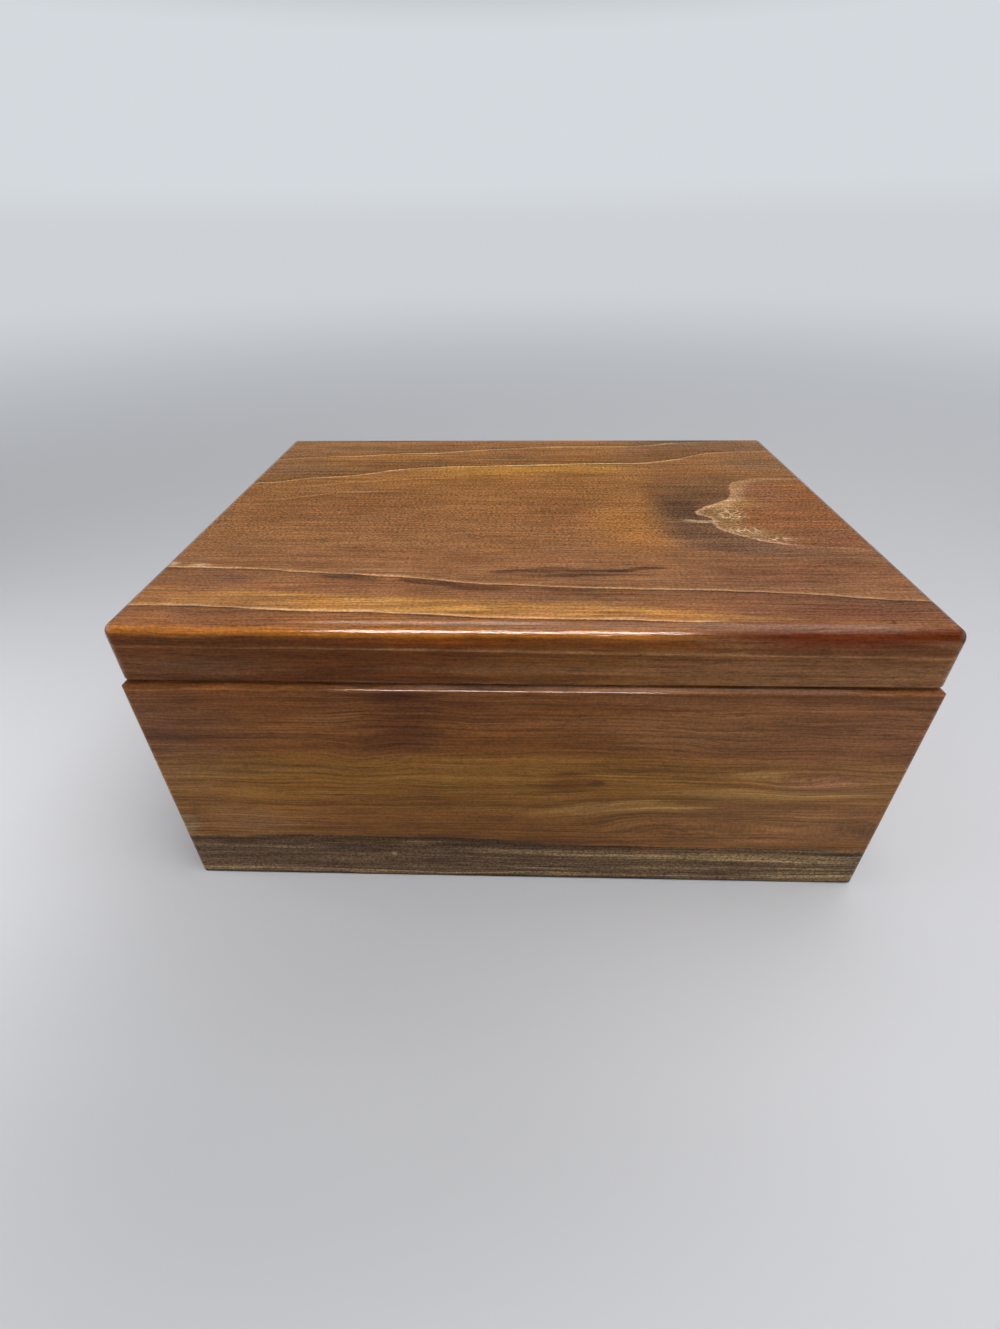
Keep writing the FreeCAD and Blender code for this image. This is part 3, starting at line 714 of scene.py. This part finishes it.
def paintFace(grain, tones, wood, torn):
    # the front face below the rounded edge is darker, redder wood with one pale line
    x, z = grain["along"], grain["height"]
    half = lidBoard["halfLength"]
    ramp = [(place + half, tones[tone]) for place, tone in lidBoard["faceTones"]]
    face = toneRamp(plus(x, half), ramp, 2 * half)
    face = stainWood(face, {**grain, "across": z}, tones, lidBoard["faceStains"])
    line = lidBoard["faceLine"]
    rise = minus(z, followCurve(x, line["points"]))
    mark = useGroup(yearLineGroup, Offset=rise, Width=line["width"], Side=line["side"],
                    Reach=line["reach"], Along=x, Seed=line["seed"])
    face = tint(times(mark["Shade"], line["dark"]), face, tones["liver"])
    drawn = times(remap(grain["tear"], 0.3, 0.7, 0.30, 0.70), remap(x, -115, -30, 0.35, 1))
    face = tint(times(mark["Line"], drawn), face, tones["pencil"])
    isFace = remap(grain["back"], -107, -106.2, 1, 0)
    isFace = times(isFace, remap(torn, 121.2, 123.1, 1, 0))
    return tint(isFace, wood, face)


def paintLid():
    tones = lidBoard["tones"]
    material, shader, spot = startMaterial("lidWood")
    grain = lidGrain(spot)
    x, y, z = grain["along"], grain["back"], grain["height"]
    fibre = lidFibre(grain)

    wood = tint(fibre["Bands"], tones["toffee"], tones["biscuit"])
    wood = stainWood(wood, grain, tones, lidBoard["patches"])
    marks = findYearLines(grain)
    wood = paintFront(grain, tones, wood, marks[2]["gap"], marks[3]["gap"])
    wood = scatterDashes(grain, tones, wood)
    for mark in marks:
        wood = tint(times(mark["Shade"], mark["line"]["dark"]), wood, tones["umber"])
    inside = insideInclusion(grain)
    wood = paintHalo(grain, tones, wood, inside)
    wood = paintInclusion(grain, tones, wood, inside, fibre["Bands"])
    wood = drawStrokes(grain, tones, wood)
    for mark in marks:
        line = mark["line"]
        left, right = line["ends"]
        wood = tint(times(mark["Seam"], line["seam"]), wood, tones["soot"])
        faint = times(remap(x, -140, -70, left, 1), remap(x, 66, 110, 1, right))
        wood = tint(times(mark["Line"], faint, line["pale"]), wood, tones[line["tone"]])
    # painted reflection: the top's tint shifts from the front edge to the back one
    paintedReflection = tint(remap(y, -100, 95), lidBoard["paintedReflectionFront"], lidBoard["paintedReflectionBack"])
    wood = tint(1, wood, paintedReflection, "MULTIPLY")
    torn = calc("MULTIPLY_ADD", minus(grain["tear"], 0.5), 3, z)
    wood = paintRoundedEdge(grain, tones, wood, torn)
    wood = paintFace(grain, tones, wood, torn)

    # cut across the grain at both ends, the wood is darker; underneath it is paler and only oiled
    facing = axesOf(addNode("ShaderNodeTexCoord").outputs["Normal"])
    wood = darken(wood, remap(calc("ABSOLUTE", facing[0]), 0.75, 0.97, 1, 0.62))
    under = remap(facing[2], -0.98, -0.85, 1, 0)
    wood = tint(times(under, 0.50), wood, tones["oiled"])
    polish = remap(z, 121, 124.8, lidBoard["edgeDull"], lidBoard["dull"])
    dull = remap(under, 0, 1, polish, lidBoard["underDull"], smooth=False)
    # painted shade darkens the lower edge along the parting line and both short edges of the top
    paintedShade = calc("MAXIMUM", remap(z, 103.7, 104.5, 0.35, 1), under)
    # painted shade on both short edges of the top
    rubbed = times(remap(calc("ABSOLUTE", x), 135, 137.5), within(z, 120.5, 130, 1))
    paintedShade = times(paintedShade, remap(rubbed, 0, 1, 1, 0.55, smooth=False))
    # the front edge was sanded a little hollow before it turns down, and brush marks run along it
    brushed = cloud(stretch(spot, (0.045, 0.75, 0.75)), 3, 0.6)
    brushed = times(brushed, remap(y, -102, -90, lidBoard["brushMarks"], 0))
    crown = plus(remap(y, *lidBoard["crown"], lidBoard["hollow"], 0), brushed)
    finishWood(shader, spot, wood, times(fibre["Shade"], paintedShade), dull, crown)
    return material


wallBoards = {
    "height": 103.5,
    "dull": 0.15,
    "rimDull": 0.09,
    "insideDull": 0.46,
    "insideTone": (0.34, 0.17, 0.07),
    # from the middle, by the way a wall runs
    "insideFaces": {"x": 94, "y": 126},
    "corner": (140, 108),
    "glueLine": (0.072, 0.288),
    "grain": {"Mottle": 0.14, "Thread": 0.19, "Pore": 0.3},
    # in the heartwood, and in the sapwood along the foot
    "twoGrains": {"Streak": (0.34, 0.54), "Hair": (0.32, 0.64), "Speckle": (0.2, 0.58)},
    # tone of a board from its foot to its rim; on the rim's bevel a painted glow by its lower edge's
    # highlight, then painted shade darkening up to the seam under the lid
    "bands": [
        (0, (0.215, 0.084, 0.02)), (25, (0.225, 0.086, 0.018)), (36, (0.245, 0.098, 0.022)),
        (45, (0.27, 0.112, 0.021)), (52, (0.32, 0.142, 0.027)), (64, (0.315, 0.138, 0.026)),
        (70, (0.285, 0.118, 0.022)), (74, (0.225, 0.08, 0.018)), (88, (0.235, 0.085, 0.022)),
        (96, (0.222, 0.078, 0.021)), (100, (0.205, 0.073, 0.02)), (100.9, (0.29, 0.104, 0.026)),
        (101.8, (0.235, 0.082, 0.018)), (103.5, (0.155, 0.051, 0.01)),
    ],
    "tones": {
        "plum": (0.078, 0.022, 0.008), "brown": (0.175, 0.06, 0.01), "olive": (0.47, 0.25, 0.072),
        "moss": (0.3, 0.195, 0.08), "brick": (0.36, 0.168, 0.065), "ink": (0.062, 0.026, 0.005),
        "slate": (0.128, 0.07, 0.034), "straw": (0.41, 0.27, 0.118), "mauve": (0.18, 0.09, 0.066),
        "pink": (0.32, 0.13, 0.048), "rosy": (0.29, 0.13, 0.068), "cream": (0.5, 0.36, 0.2),
    },
    # sapLine and inkLine: height of the sapwood and strength of the dark line over it, along the wall;
    # pushes: where the grain is pushed up, middle along and up, half length and height, push;
    # climb: where the grain climbs to the right; eye: where it parts
    "front_wall": {
        "run": "x", "seed": 11,
        "sapLine": [(-140, 23.6), (-60, 25.2), (-24, 25), (0, 23.4), (30, 21.8), (140, 21.2)],
        "inkLine": [(-140, 0.8), (-60, 0.9), (-10, 0.75), (40, 0.4), (140, 0.45)],
        "pushes": [(-60, 66, 22, 14, 3), (-46, 88, 30, 18, -2.2)],
        "climb": {"along": (6, 55), "heights": (33, 53), "soft": 6, "rise": 6},
        "eye": {"middle": (108, 60), "half": (32, 10), "squeeze": 0.75},
        "stains": [
            ("rosy", 140, 76, 116, 64, 0.3, 0.38), ("plum", -44, 97.5, 22, 5, 0.5, 0.95),
            ("plum", -44, 82.5, 24, 13, 0.7, 0.66), ("plum", -36, 91, 26, 6, 0.7, 0.3),
            ("mauve", -136, 74, 46, 40, 0.3, 0.34), ("brown", -124, 68, 30, 5, 0.6, 0.35),
            ("brown", -112, 96, 54, 5, 0.6, 0.4), ("pink", 58, 96.5, 54, 4, 0.6, 0.45),
            ("plum", -24, 95.5, 18, 3, 0.6, 0.6), ("brown", -118, 78, 40, 5, 0.7, 0.36),
            ("pink", -92, 81, 32, 5, 0.5, 0.35), ("moss", -70, 88, 16, 6, 0.6, 0.14),
            ("pink", 18, 87.5, 48, 2, 0.6, 0.45), ("pink", 118, 91, 46, 12, 0.6, 0.3),
            ("plum", 72, 78.3, 9, 0.8, 0.5, 0.5), ("brown", -40, 49, 70, 9, 0.6, 0.42),
            ("brown", 18, 57, 20, 8, 0.6, 0.85), ("plum", 27.5, 57, 5, 3.2, 0.3, 0.6),
            ("plum", 18, 62.2, 10, 1.4, 0.5, 0.55), ("olive", 87, 63.5, 13, 3.6, 0.8, 0.7),
            ("brown", 89, 56.6, 8, 1.2, 0.5, 0.55), ("olive", 94, 51, 50, 8, 0.8, 0.85),
            ("rosy", 112, 59.5, 26, 6, 0.6, 0.6), ("brown", 110, 62.3, 18, 1, 0.6, 0.5),
            ("olive", -112, 62, 34, 6, 0.6, 0.12), ("brown", -80, 56, 60, 6, 0.6, 0.5),
            ("brown", 78, 57.2, 26, 2.6, 0.6, 0.45), ("brown", -60, 39, 46, 4, 0.6, 0.38),
            ("moss", -137, 31, 8, 9, 0.5, 0.9), ("brick", -112, 33, 32, 11, 0.6, 0.7),
            ("brick", 90, 33, 90, 18, 0.4, 0.42), ("brick", 58, 84, 54, 14, 0.4, 0.46),
            ("brown", -32, 33, 54, 9, 0.6, 0.36), ("brown", -80, 44, 30, 4, 0.6, 0.35),
            ("brown", 4, 27, 22, 4, 0.6, 0.4), ("olive", 42, 41, 42, 5.2, 0.8, 0.85),
        ],
        "sapStains": [
            ("slate", -80, 12, 80, 9, 0.5, 0.7), ("slate", 32, 11, 50, 5, 0.5, 0.95),
            ("straw", 72, 16, 74, 2.8, 0.6, 0.75), ("straw", 120, 14.5, 34, 3.6, 0.6, 0.65),
            ("straw", 12, 3, 46, 1.5, 0.6, 0.75), ("slate", 24, 7.4, 40, 2.8, 0.5, 0.7),
            ("slate", 40, 12.4, 24, 2.6, 0.5, 0.6), ("straw", 0, 17.2, 50, 2.2, 0.7, 0.42),
            ("ink", -62, 21.8, 46, 2.8, 0.4, 0.85), ("slate", -120, 17.6, 26, 2.4, 0.4, 0.8),
            ("straw", 120, 5, 34, 3.8, 0.6, 0.65), ("straw", -116, 3.6, 34, 1.4, 0.5, 0.5),
            ("ink", -118, 21, 17, 2.6, 0.5, 0.9), ("ink", -24, 22, 26, 3.4, 0.5, 0.62),
            ("brown", 62, 20.2, 66, 1.6, 0.5, 0.35), ("cream", -54, 15, 1.5, 2.4, 1.2, 0.5),
        ],
    },
    "right_wall": {
        "run": "y", "seed": 230,
        "sapLine": [(-108, 21.9), (0, 23.2), (108, 22.4)],
        "inkLine": [(-108, 0.55), (0, 0.85), (108, 0.7)],
        "pushes": [(30, 60, 30, 22, 5), (-50, 80, 34, 16, -4)],
        "stains": [
            ("plum", 62, 70, 5, 3.2, 0.4, 0.7), ("brown", 58, 70, 22, 9, 0.6, 0.45),
            ("olive", -40, 52, 46, 6, 0.6, 0.5), ("plum", -70, 92, 26, 5, 0.6, 0.4),
        ],
        "sapStains": [("ink", 40, 21.5, 24, 2.6, 0.5, 0.8), ("straw", -40, 12, 50, 3.4, 0.6, 0.6)],
    },
    "back_wall": {
        "run": "x", "seed": 510,
        "sapLine": [(-140, 23), (-30, 21.8), (140, 22.4)],
        "inkLine": [(-140, 0.7), (0, 0.85), (140, 0.6)],
        "pushes": [(20, 70, 40, 18, 5), (-70, 55, 30, 20, -4)],
        "stains": [
            ("brown", 40, 84, 50, 7, 0.6, 0.5), ("olive", -60, 58, 56, 7, 0.6, 0.5),
            ("plum", -96, 74, 5, 2.6, 0.4, 0.65), ("brick", 70, 36, 56, 8, 0.6, 0.5),
        ],
        "sapStains": [("ink", 60, 21.5, 34, 2.8, 0.5, 0.8), ("straw", -30, 10, 70, 3.6, 0.6, 0.6)],
    },
    "left_wall": {
        "run": "y", "seed": 820,
        "sapLine": [(-108, 23.6), (10, 22.4), (108, 23)],
        "inkLine": [(-108, 0.55), (0, 0.85), (108, 0.7)],
        "pushes": [(-30, 58, 34, 20, -5), (56, 84, 30, 14, 4)],
        "stains": [
            ("brown", -50, 80, 40, 8, 0.6, 0.5), ("olive", 36, 56, 50, 6, 0.6, 0.55),
            ("brick", -40, 34, 40, 8, 0.6, 0.55),
        ],
        "sapStains": [("ink", -40, 21.5, 26, 2.8, 0.5, 0.8), ("straw", 50, 11, 40, 3.4, 0.6, 0.6)],
    },
}


def wallFlow(wall, along, z, run):
    # height in the board's grain, which wanders, bulges, climbs to the right and parts round an eye
    flow = plus(z, sway(run, (0.016, 0.035, 0.01), 5))
    flow = plus(flow, sway(run, (0.05, 0.10, 0.02), 1.8))
    for middle, height, halfLength, halfHeight, push in wall["pushes"]:
        bulge = ovalMask(along, z, (middle, height), (halfLength, halfHeight), Ragged=0)
        flow = calc("MULTIPLY_ADD", bulge, push, flow)
    if "climb" in wall:
        climb = wall["climb"]
        where = times(remap(along, *climb["along"]), within(z, *climb["heights"], climb["soft"]))
        flow = calc("MULTIPLY_ADD", where, -climb["rise"], flow)
    if "eye" in wall:
        eye = wall["eye"]
        where = ovalMask(along, z, eye["middle"], eye["half"], Ragged=0)
        away = minus(z, eye["middle"][1])
        flow = calc("MULTIPLY_ADD", times(where, away), -eye["squeeze"], flow)
    return flow


def paintSapwood(wall, tones, grain, run, edge):
    # grey and straw streaks under a dark line
    lines = cloud(stretch(run, (0.012, 0.28, 0.1)), 4, 0.6)
    sap = tint(remap(lines, 0.47, 0.72), tones["slate"], tones["straw"])
    ink = times(within(edge, -2.8, 0.4, 0.9), followCurve(grain["along"], wall["inkLine"]))
    sap = tint(times(ink, remap(grain["tear"], 0.3, 0.6, 0.40, 1)), sap, tones["ink"])
    return stainWood(sap, grain, tones, wall["sapStains"])


def paintWall(name):
    wall = wallBoards[name]
    tones = wallBoards["tones"]
    material, shader, spot = startMaterial(name + "Wood")
    x, y, z = axesOf(spot)
    along, depth = (x, y) if wall["run"] == "x" else (y, x)
    place = plus(along, wall["seed"])
    run = packVector(place, z, depth)
    flow = wallFlow(wall, along, z, run)
    tear = cloud(stretch(packVector(place, flow, depth), (0.03, 0.5, 0.2)), 5, 0.65)

    # how far above the sapwood's upper edge
    edge = plus(z, sway(run, (0.03, 0.05, 0.02), 3))
    edge = plus(edge, sway(run, (0.25, 0.3, 0.2), 0.8))
    edge = minus(edge, followCurve(along, wall["sapLine"]))
    isSap = remap(edge, -0.3, 0.7, 1, 0)
    grain = {"along": along, "across": flow, "tear": tear}
    # bands by height, with painted glow and painted shade over the rim's bevel
    wood = toneRamp(flow, wallBoards["bands"], wallBoards["height"])
    wood = stainWood(wood, grain, tones, wall["stains"])
    wood = tint(isSap, wood, paintSapwood(wall, tones, {**grain, "across": z}, run, edge))
    amounts = {label: remap(isSap, 0, 1, *both) for label, both in wallBoards["twoGrains"].items()}
    fibre = useGroup(fibreGroup, Along=along, Across=flow, Depth=depth, Seed=wall["seed"],
                     **wallBoards["grain"], **amounts)
    shade = times(fibre["Shade"], remap(fibre["Bands"], 0, 1, 0.86, 1.10, smooth=False))

    # inside the box the boards are paler and only oiled
    inner = wallBoards["insideFaces"][wall["run"]]
    inside = remap(calc("ABSOLUTE", depth), inner + 0.1, inner + 0.6, 1, 0)
    wood = tint(times(inside, 0.45), wood, wallBoards["insideTone"])
    polish = remap(z, 99.5, 100.5, wallBoards["dull"], wallBoards["rimDull"])
    dull = remap(inside, 0, 1, polish, wallBoards["insideDull"], smooth=False)
    # a thin glue line at each mitre, and painted shade where the foot meets the table
    endward = minus(wallBoards["corner"][0], calc("ABSOLUTE", x))
    outward = minus(wallBoards["corner"][1], calc("ABSOLUTE", y))
    seam = calc("ABSOLUTE", minus(endward, outward))
    shade = times(shade, remap(seam, *wallBoards["glueLine"], 0.45, 1))
    shade = times(shade, remap(z, 0.2, 2.6, 0.14, 1))
    finishWood(shader, spot, wood, shade, dull)
    return material


bottomBoard = {
    "dark": (0.250, 0.125, 0.052),
    "pale": (0.380, 0.215, 0.098),
    "dull": 0.44,
    "grain": {"Seed": 640, "Streak": 0.22, "Hair": 0.20, "Pore": 0.25, "Speckle": 0.14, "Mottle": 0.10},
}


def paintBottom():
    material, shader, spot = startMaterial("bottomWood")
    x, y, z = axesOf(spot)
    across = plus(y, sway(spot, (0.008, 0.02, 0.02), 16))
    fibre = useGroup(fibreGroup, Along=x, Across=across, Depth=z, **bottomBoard["grain"])
    wood = tint(fibre["Bands"], bottomBoard["dark"], bottomBoard["pale"])
    finishWood(shader, spot, wood, fibre["Shade"], bottomBoard["dull"])
    return material


brass = {
    "bright": (0.70, 0.47, 0.18),
    "tarnish": (0.27, 0.165, 0.070),
    "dull": 0.30,
    "bump": 0.5,
    "bumpReach": 0.001,
}


def makePatinaGroup():
    # handled brass: brown tarnish in patches, fine rubbing along the length
    inputs = {"Spot": (0, 0, 0), "Dull": 0.3}
    tree, start, end = newGroup("brassPatina", inputs, ("Tarnish", "Roughness", "Height"))
    blotch = cloud(stretch(start["Spot"], (0.35, 0.5, 0.5)), 4, 0.65)
    tarnish = remap(blotch, 0.42, 0.68)
    rubbed = cloud(stretch(start["Spot"], (0.5, 9, 9)), 3, 0.6)
    plug(end["Tarnish"], calc("MULTIPLY_ADD", rubbed, 0.25, times(tarnish, 0.6), clamp=True))
    plug(end["Roughness"], calc("MULTIPLY_ADD", tarnish, 0.22, start["Dull"]))
    plug(end["Height"], times(rubbed, 0.02))
    return tree


patinaGroup = makePatinaGroup()


def paintBrass(name):
    material, shader, spot = startMaterial(name)
    patina = useGroup(patinaGroup, Spot=spot, Dull=brass["dull"])
    plug(shader.inputs["Base Color"], tint(patina["Tarnish"], brass["bright"], brass["tarnish"]))
    plug(shader.inputs["Roughness"], patina["Roughness"])
    shader.inputs["Metallic"].default_value = 1
    raiseSurface(shader, patina["Height"], brass["bump"], brass["bumpReach"])
    return material


def wear(node, material):
    mesh = nodes[node].data
    mesh.materials.clear()
    mesh.materials.append(material)


wear("lid_board", paintLid())
for wallName in ("front_wall", "right_wall", "back_wall", "left_wall"):
    wear(wallName, paintWall(wallName))
wear("bottom_panel", paintBottom())
print("wood finished")

hingeBrass = paintBrass("hingeBrass")
for side in ("left", "right"):
    for part in ("hinge_body_leaf", "hinge_lid_leaf", "hinge_pin"):
        wear(side + "_" + part, hingeBrass)
print("hinges finished")


# slotted screws, as large as the solids' own
slottedScrew = {
    "neck": 0.571,      # shank radius, as a part of the head's radius
    "point": 0.30,      # length of the tip, as a part of the screw's length
    "slotWidth": 0.00055,
    "slotDepth": 0.00055,
    "rounds": 40,
    "turns": (24, -51, 78, 8, -35, 62, 17, -80),    # degrees, one for each screw
}


def cutSlot(mesh):
    half = slottedScrew["slotWidth"] / 2
    floor = -slottedScrew["slotDepth"]
    for place, way in (((0, half, 0), (0, 1, 0)), ((0, -half, 0), (0, 1, 0)), ((0, 0, floor), (0, 0, 1))):
        everything = mesh.verts[:] + mesh.edges[:] + mesh.faces[:]
        bmesh.ops.bisect_plane(mesh, geom=everything, dist=1e-7, plane_co=place, plane_no=way)
    gone = []
    for face in mesh.faces:
        middle = face.calc_center_median()
        if abs(middle.y) < half and middle.z > floor:
            gone.append(face)
    bmesh.ops.delete(mesh, geom=gone, context="FACES")
    rim = [edge for edge in mesh.edges if edge.is_boundary]
    deep = {vert for edge in rim for vert in edge.verts if abs(vert.co.z - floor) < 1e-7}
    for side in (-half, half):
        corners = sorted((vert for vert in deep if abs(vert.co.y - side) < 1e-7), key=lambda vert: vert.co.x)
        rim.append(mesh.edges.new((corners[0], corners[-1])))
    bmesh.ops.edgenet_fill(mesh, edges=rim)
    bmesh.ops.recalc_face_normals(mesh, faces=mesh.faces[:])


def makeScrews(node, body, facing, turns, material):
    corners = [nodes[node].matrix_world @ Vector(corner) for corner in nodes[node].bound_box]
    low = Vector(min(corner[axis] for corner in corners) for axis in range(3))
    high = Vector(max(corner[axis] for corner in corners) for axis in range(3))
    head = (high.y - low.y) / 2
    length = high.z - low.z
    neck = head * slottedScrew["neck"]
    tip = (slottedScrew["point"] - 1) * length
    outline = [(0, 0), (head, 0), (neck, neck - head), (neck, tip), (0, -length)]
    both = bmesh.new()
    for place, turn in zip((low.x + head, high.x - head), turns):
        mesh = bmesh.new()
        verts = [mesh.verts.new((across, 0, depth)) for across, depth in outline]
        edges = [mesh.edges.new(pair) for pair in zip(verts, verts[1:])]
        bmesh.ops.spin(mesh, geom=verts + edges, cent=(0, 0, 0), axis=(0, 0, 1), angle=math.tau,
                       steps=slottedScrew["rounds"], use_merge=True)
        bmesh.ops.remove_doubles(mesh, verts=mesh.verts[:], dist=1e-7)
        cutSlot(mesh)
        rest = Matrix.Translation((place, (low.y + high.y) / 2, high.z if facing > 0 else low.z))
        flip = Matrix.Rotation(0 if facing > 0 else math.pi, 4, "X")
        mesh.transform(rest @ flip @ Matrix.Rotation(math.radians(turn), 4, "Z"))
        one = bpy.data.meshes.new("oneScrew")
        mesh.to_mesh(one)
        mesh.free()
        both.from_mesh(one)
        bpy.data.meshes.remove(one)
    data = bpy.data.meshes.new(node + "Slotted")
    both.to_mesh(data)
    both.free()
    data.materials.append(material)
    piece = bpy.data.objects.new(node + "Slotted", data)
    bpy.context.scene.collection.objects.link(piece)
    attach(piece, body)
    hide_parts(node)


screwBrass = paintBrass("screwBrass")
turns = iter(slottedScrew["turns"])
for side in ("left", "right"):
    makeScrews(side + "_body_leaf_screws", "body", 1, (next(turns), next(turns)), screwBrass)
    makeScrews(side + "_lid_leaf_screws", "lid", -1, (next(turns), next(turns)), screwBrass)
print("screws made")


stage = {
    "floor": (0.570, 0.575, 0.595),
    "dull": 0.6,
    "gloss": 0.2,
    "reach": 30,
    "backdrop": (0.615, 0.640, 0.675),  # pale distance, the same in the floor and the foot of the sky
    "fadeStart": 0.30,                  # metres from the box where the floor begins to fade to it
    "fadeEnd": 3,
    # a soft shade on the floor in front of the box, in millimetres
    "shade": {"middle": (-62, -200), "half": (210, 120), "depth": 0.25},
    # tones of the sky above its foot, and between which heights each takes over
    "sky": [
        ((-0.008, 0.05), (0.660, 0.695, 0.735)),
        ((0.17, 0.30), (0.07, 0.07, 0.075)),
        ((0.60, 0.95), (0.45, 0.46, 0.48)),
    ],
}


def setStage():
    mesh = bmesh.new()
    bmesh.ops.create_grid(mesh, x_segments=2, y_segments=2, size=stage["reach"])
    data = bpy.data.meshes.new("paleFloor")
    mesh.to_mesh(data)
    mesh.free()
    floor = bpy.data.objects.new("paleFloor", data)
    bpy.context.scene.collection.objects.link(floor)
    material, shader, spot = startMaterial("paleFloor")
    x, y = axesOf(spot)[:2]
    shade = stage["shade"]
    dim = ovalMask(x, y, shade["middle"], shade["half"], Ragged=0)
    dimmed = tuple(channel * (1 - shade["depth"]) for channel in stage["floor"])
    plug(shader.inputs["Base Color"], tint(dim, stage["floor"], dimmed))
    shader.inputs["Roughness"].default_value = stage["dull"]
    shader.inputs["Specular IOR Level"].default_value = stage["gloss"]
    # far off the floor shows the backdrop's tone to the eye and to reflections, and lights nothing
    far = addNode("ShaderNodeVectorMath", operation="LENGTH")
    plug(far.inputs[0], spot)
    steps = calc("LOGARITHM", far.outputs["Value"], 10)
    fade = remap(steps, math.log10(stage["fadeStart"] * 1000), math.log10(stage["fadeEnd"] * 1000))
    rays = addNode("ShaderNodeLightPath").outputs
    seen = calc("MAXIMUM", rays["Is Camera Ray"], rays["Is Glossy Ray"])
    seen = calc("MAXIMUM", seen, rays["Is Transmission Ray"])
    glow = addNode("ShaderNodeEmission")
    glow.inputs["Color"].default_value = (*stage["backdrop"], 1)
    blend = addNode("ShaderNodeMixShader")
    plug(blend.inputs[0], times(fade, seen))
    plug(blend.inputs[1], shader.outputs[0])
    plug(blend.inputs[2], glow.outputs[0])
    out = next(node for node in material.node_tree.nodes if node.type == "OUTPUT_MATERIAL")
    plug(out.inputs["Surface"], blend.outputs[0])
    data.materials.append(material)


# in metres and watts; those marked shine only draw the bright line and the sheen along the rounded edge
lamps = {
    "overheadSoftbox": {
        "place": (0.28, -0.02, 1.10), "aim": (0, 0, 0.1), "size": (1.1, 0.8), "power": 10.4,
    },
    "frontStrip": {
        "place": (-0.025, -0.49, 0.60), "aim": (-0.025, -0.105, 0.12), "size": (0.44, 0.20), "power": 28,
        "shine": True,
    },
    "topSheen": {
        "place": (-0.17, 0.30, 1.06), "aim": (-0.04, -0.105, 0.12), "size": (0.50, 0.40), "power": 6.5,
        "shape": "ELLIPSE", "shine": True,
    },
    "leftFill": {
        "place": (-0.45, -0.16, 0.22), "aim": (-0.22, -0.14, 0), "size": (0.3, 0.2), "power": 0.66,
    },
    "rightFill": {"place": (0.45, -0.16, 0.22), "aim": (0.22, -0.14, 0), "size": (0.3, 0.2), "power": 0.30},
}


def addLamp(name, place, aim, size, power, shape="RECTANGLE", shine=False):
    lamp = bpy.data.lights.new(name, "AREA")
    lamp.shape = shape
    lamp.size, lamp.size_y = size
    lamp.energy = power
    thing = bpy.data.objects.new(name, lamp)
    bpy.context.scene.collection.objects.link(thing)
    thing.location = place
    thing.rotation_euler = (Vector(aim) - Vector(place)).to_track_quat("-Z", "Y").to_euler()
    thing.visible_diffuse = not shine


def setLight():
    for name, lamp in lamps.items():
        addLamp(name, **lamp)
    world = bpy.data.worlds.new("studio")
    bpy.context.scene.world = world
    world.use_nodes = True
    tree = bench["tree"] = world.node_tree
    way = addNode("ShaderNodeTexCoord")
    height = axesOf(way.outputs["Generated"])[2]
    sky = stage["backdrop"]
    for heights, tone in stage["sky"]:
        sky = tint(remap(height, *heights), sky, tone)
    plug(tree.nodes["Background"].inputs["Color"], sky)


setStage()
setLight()
bpy.context.scene.view_settings.view_transform = "Standard"
print("stage and light set")
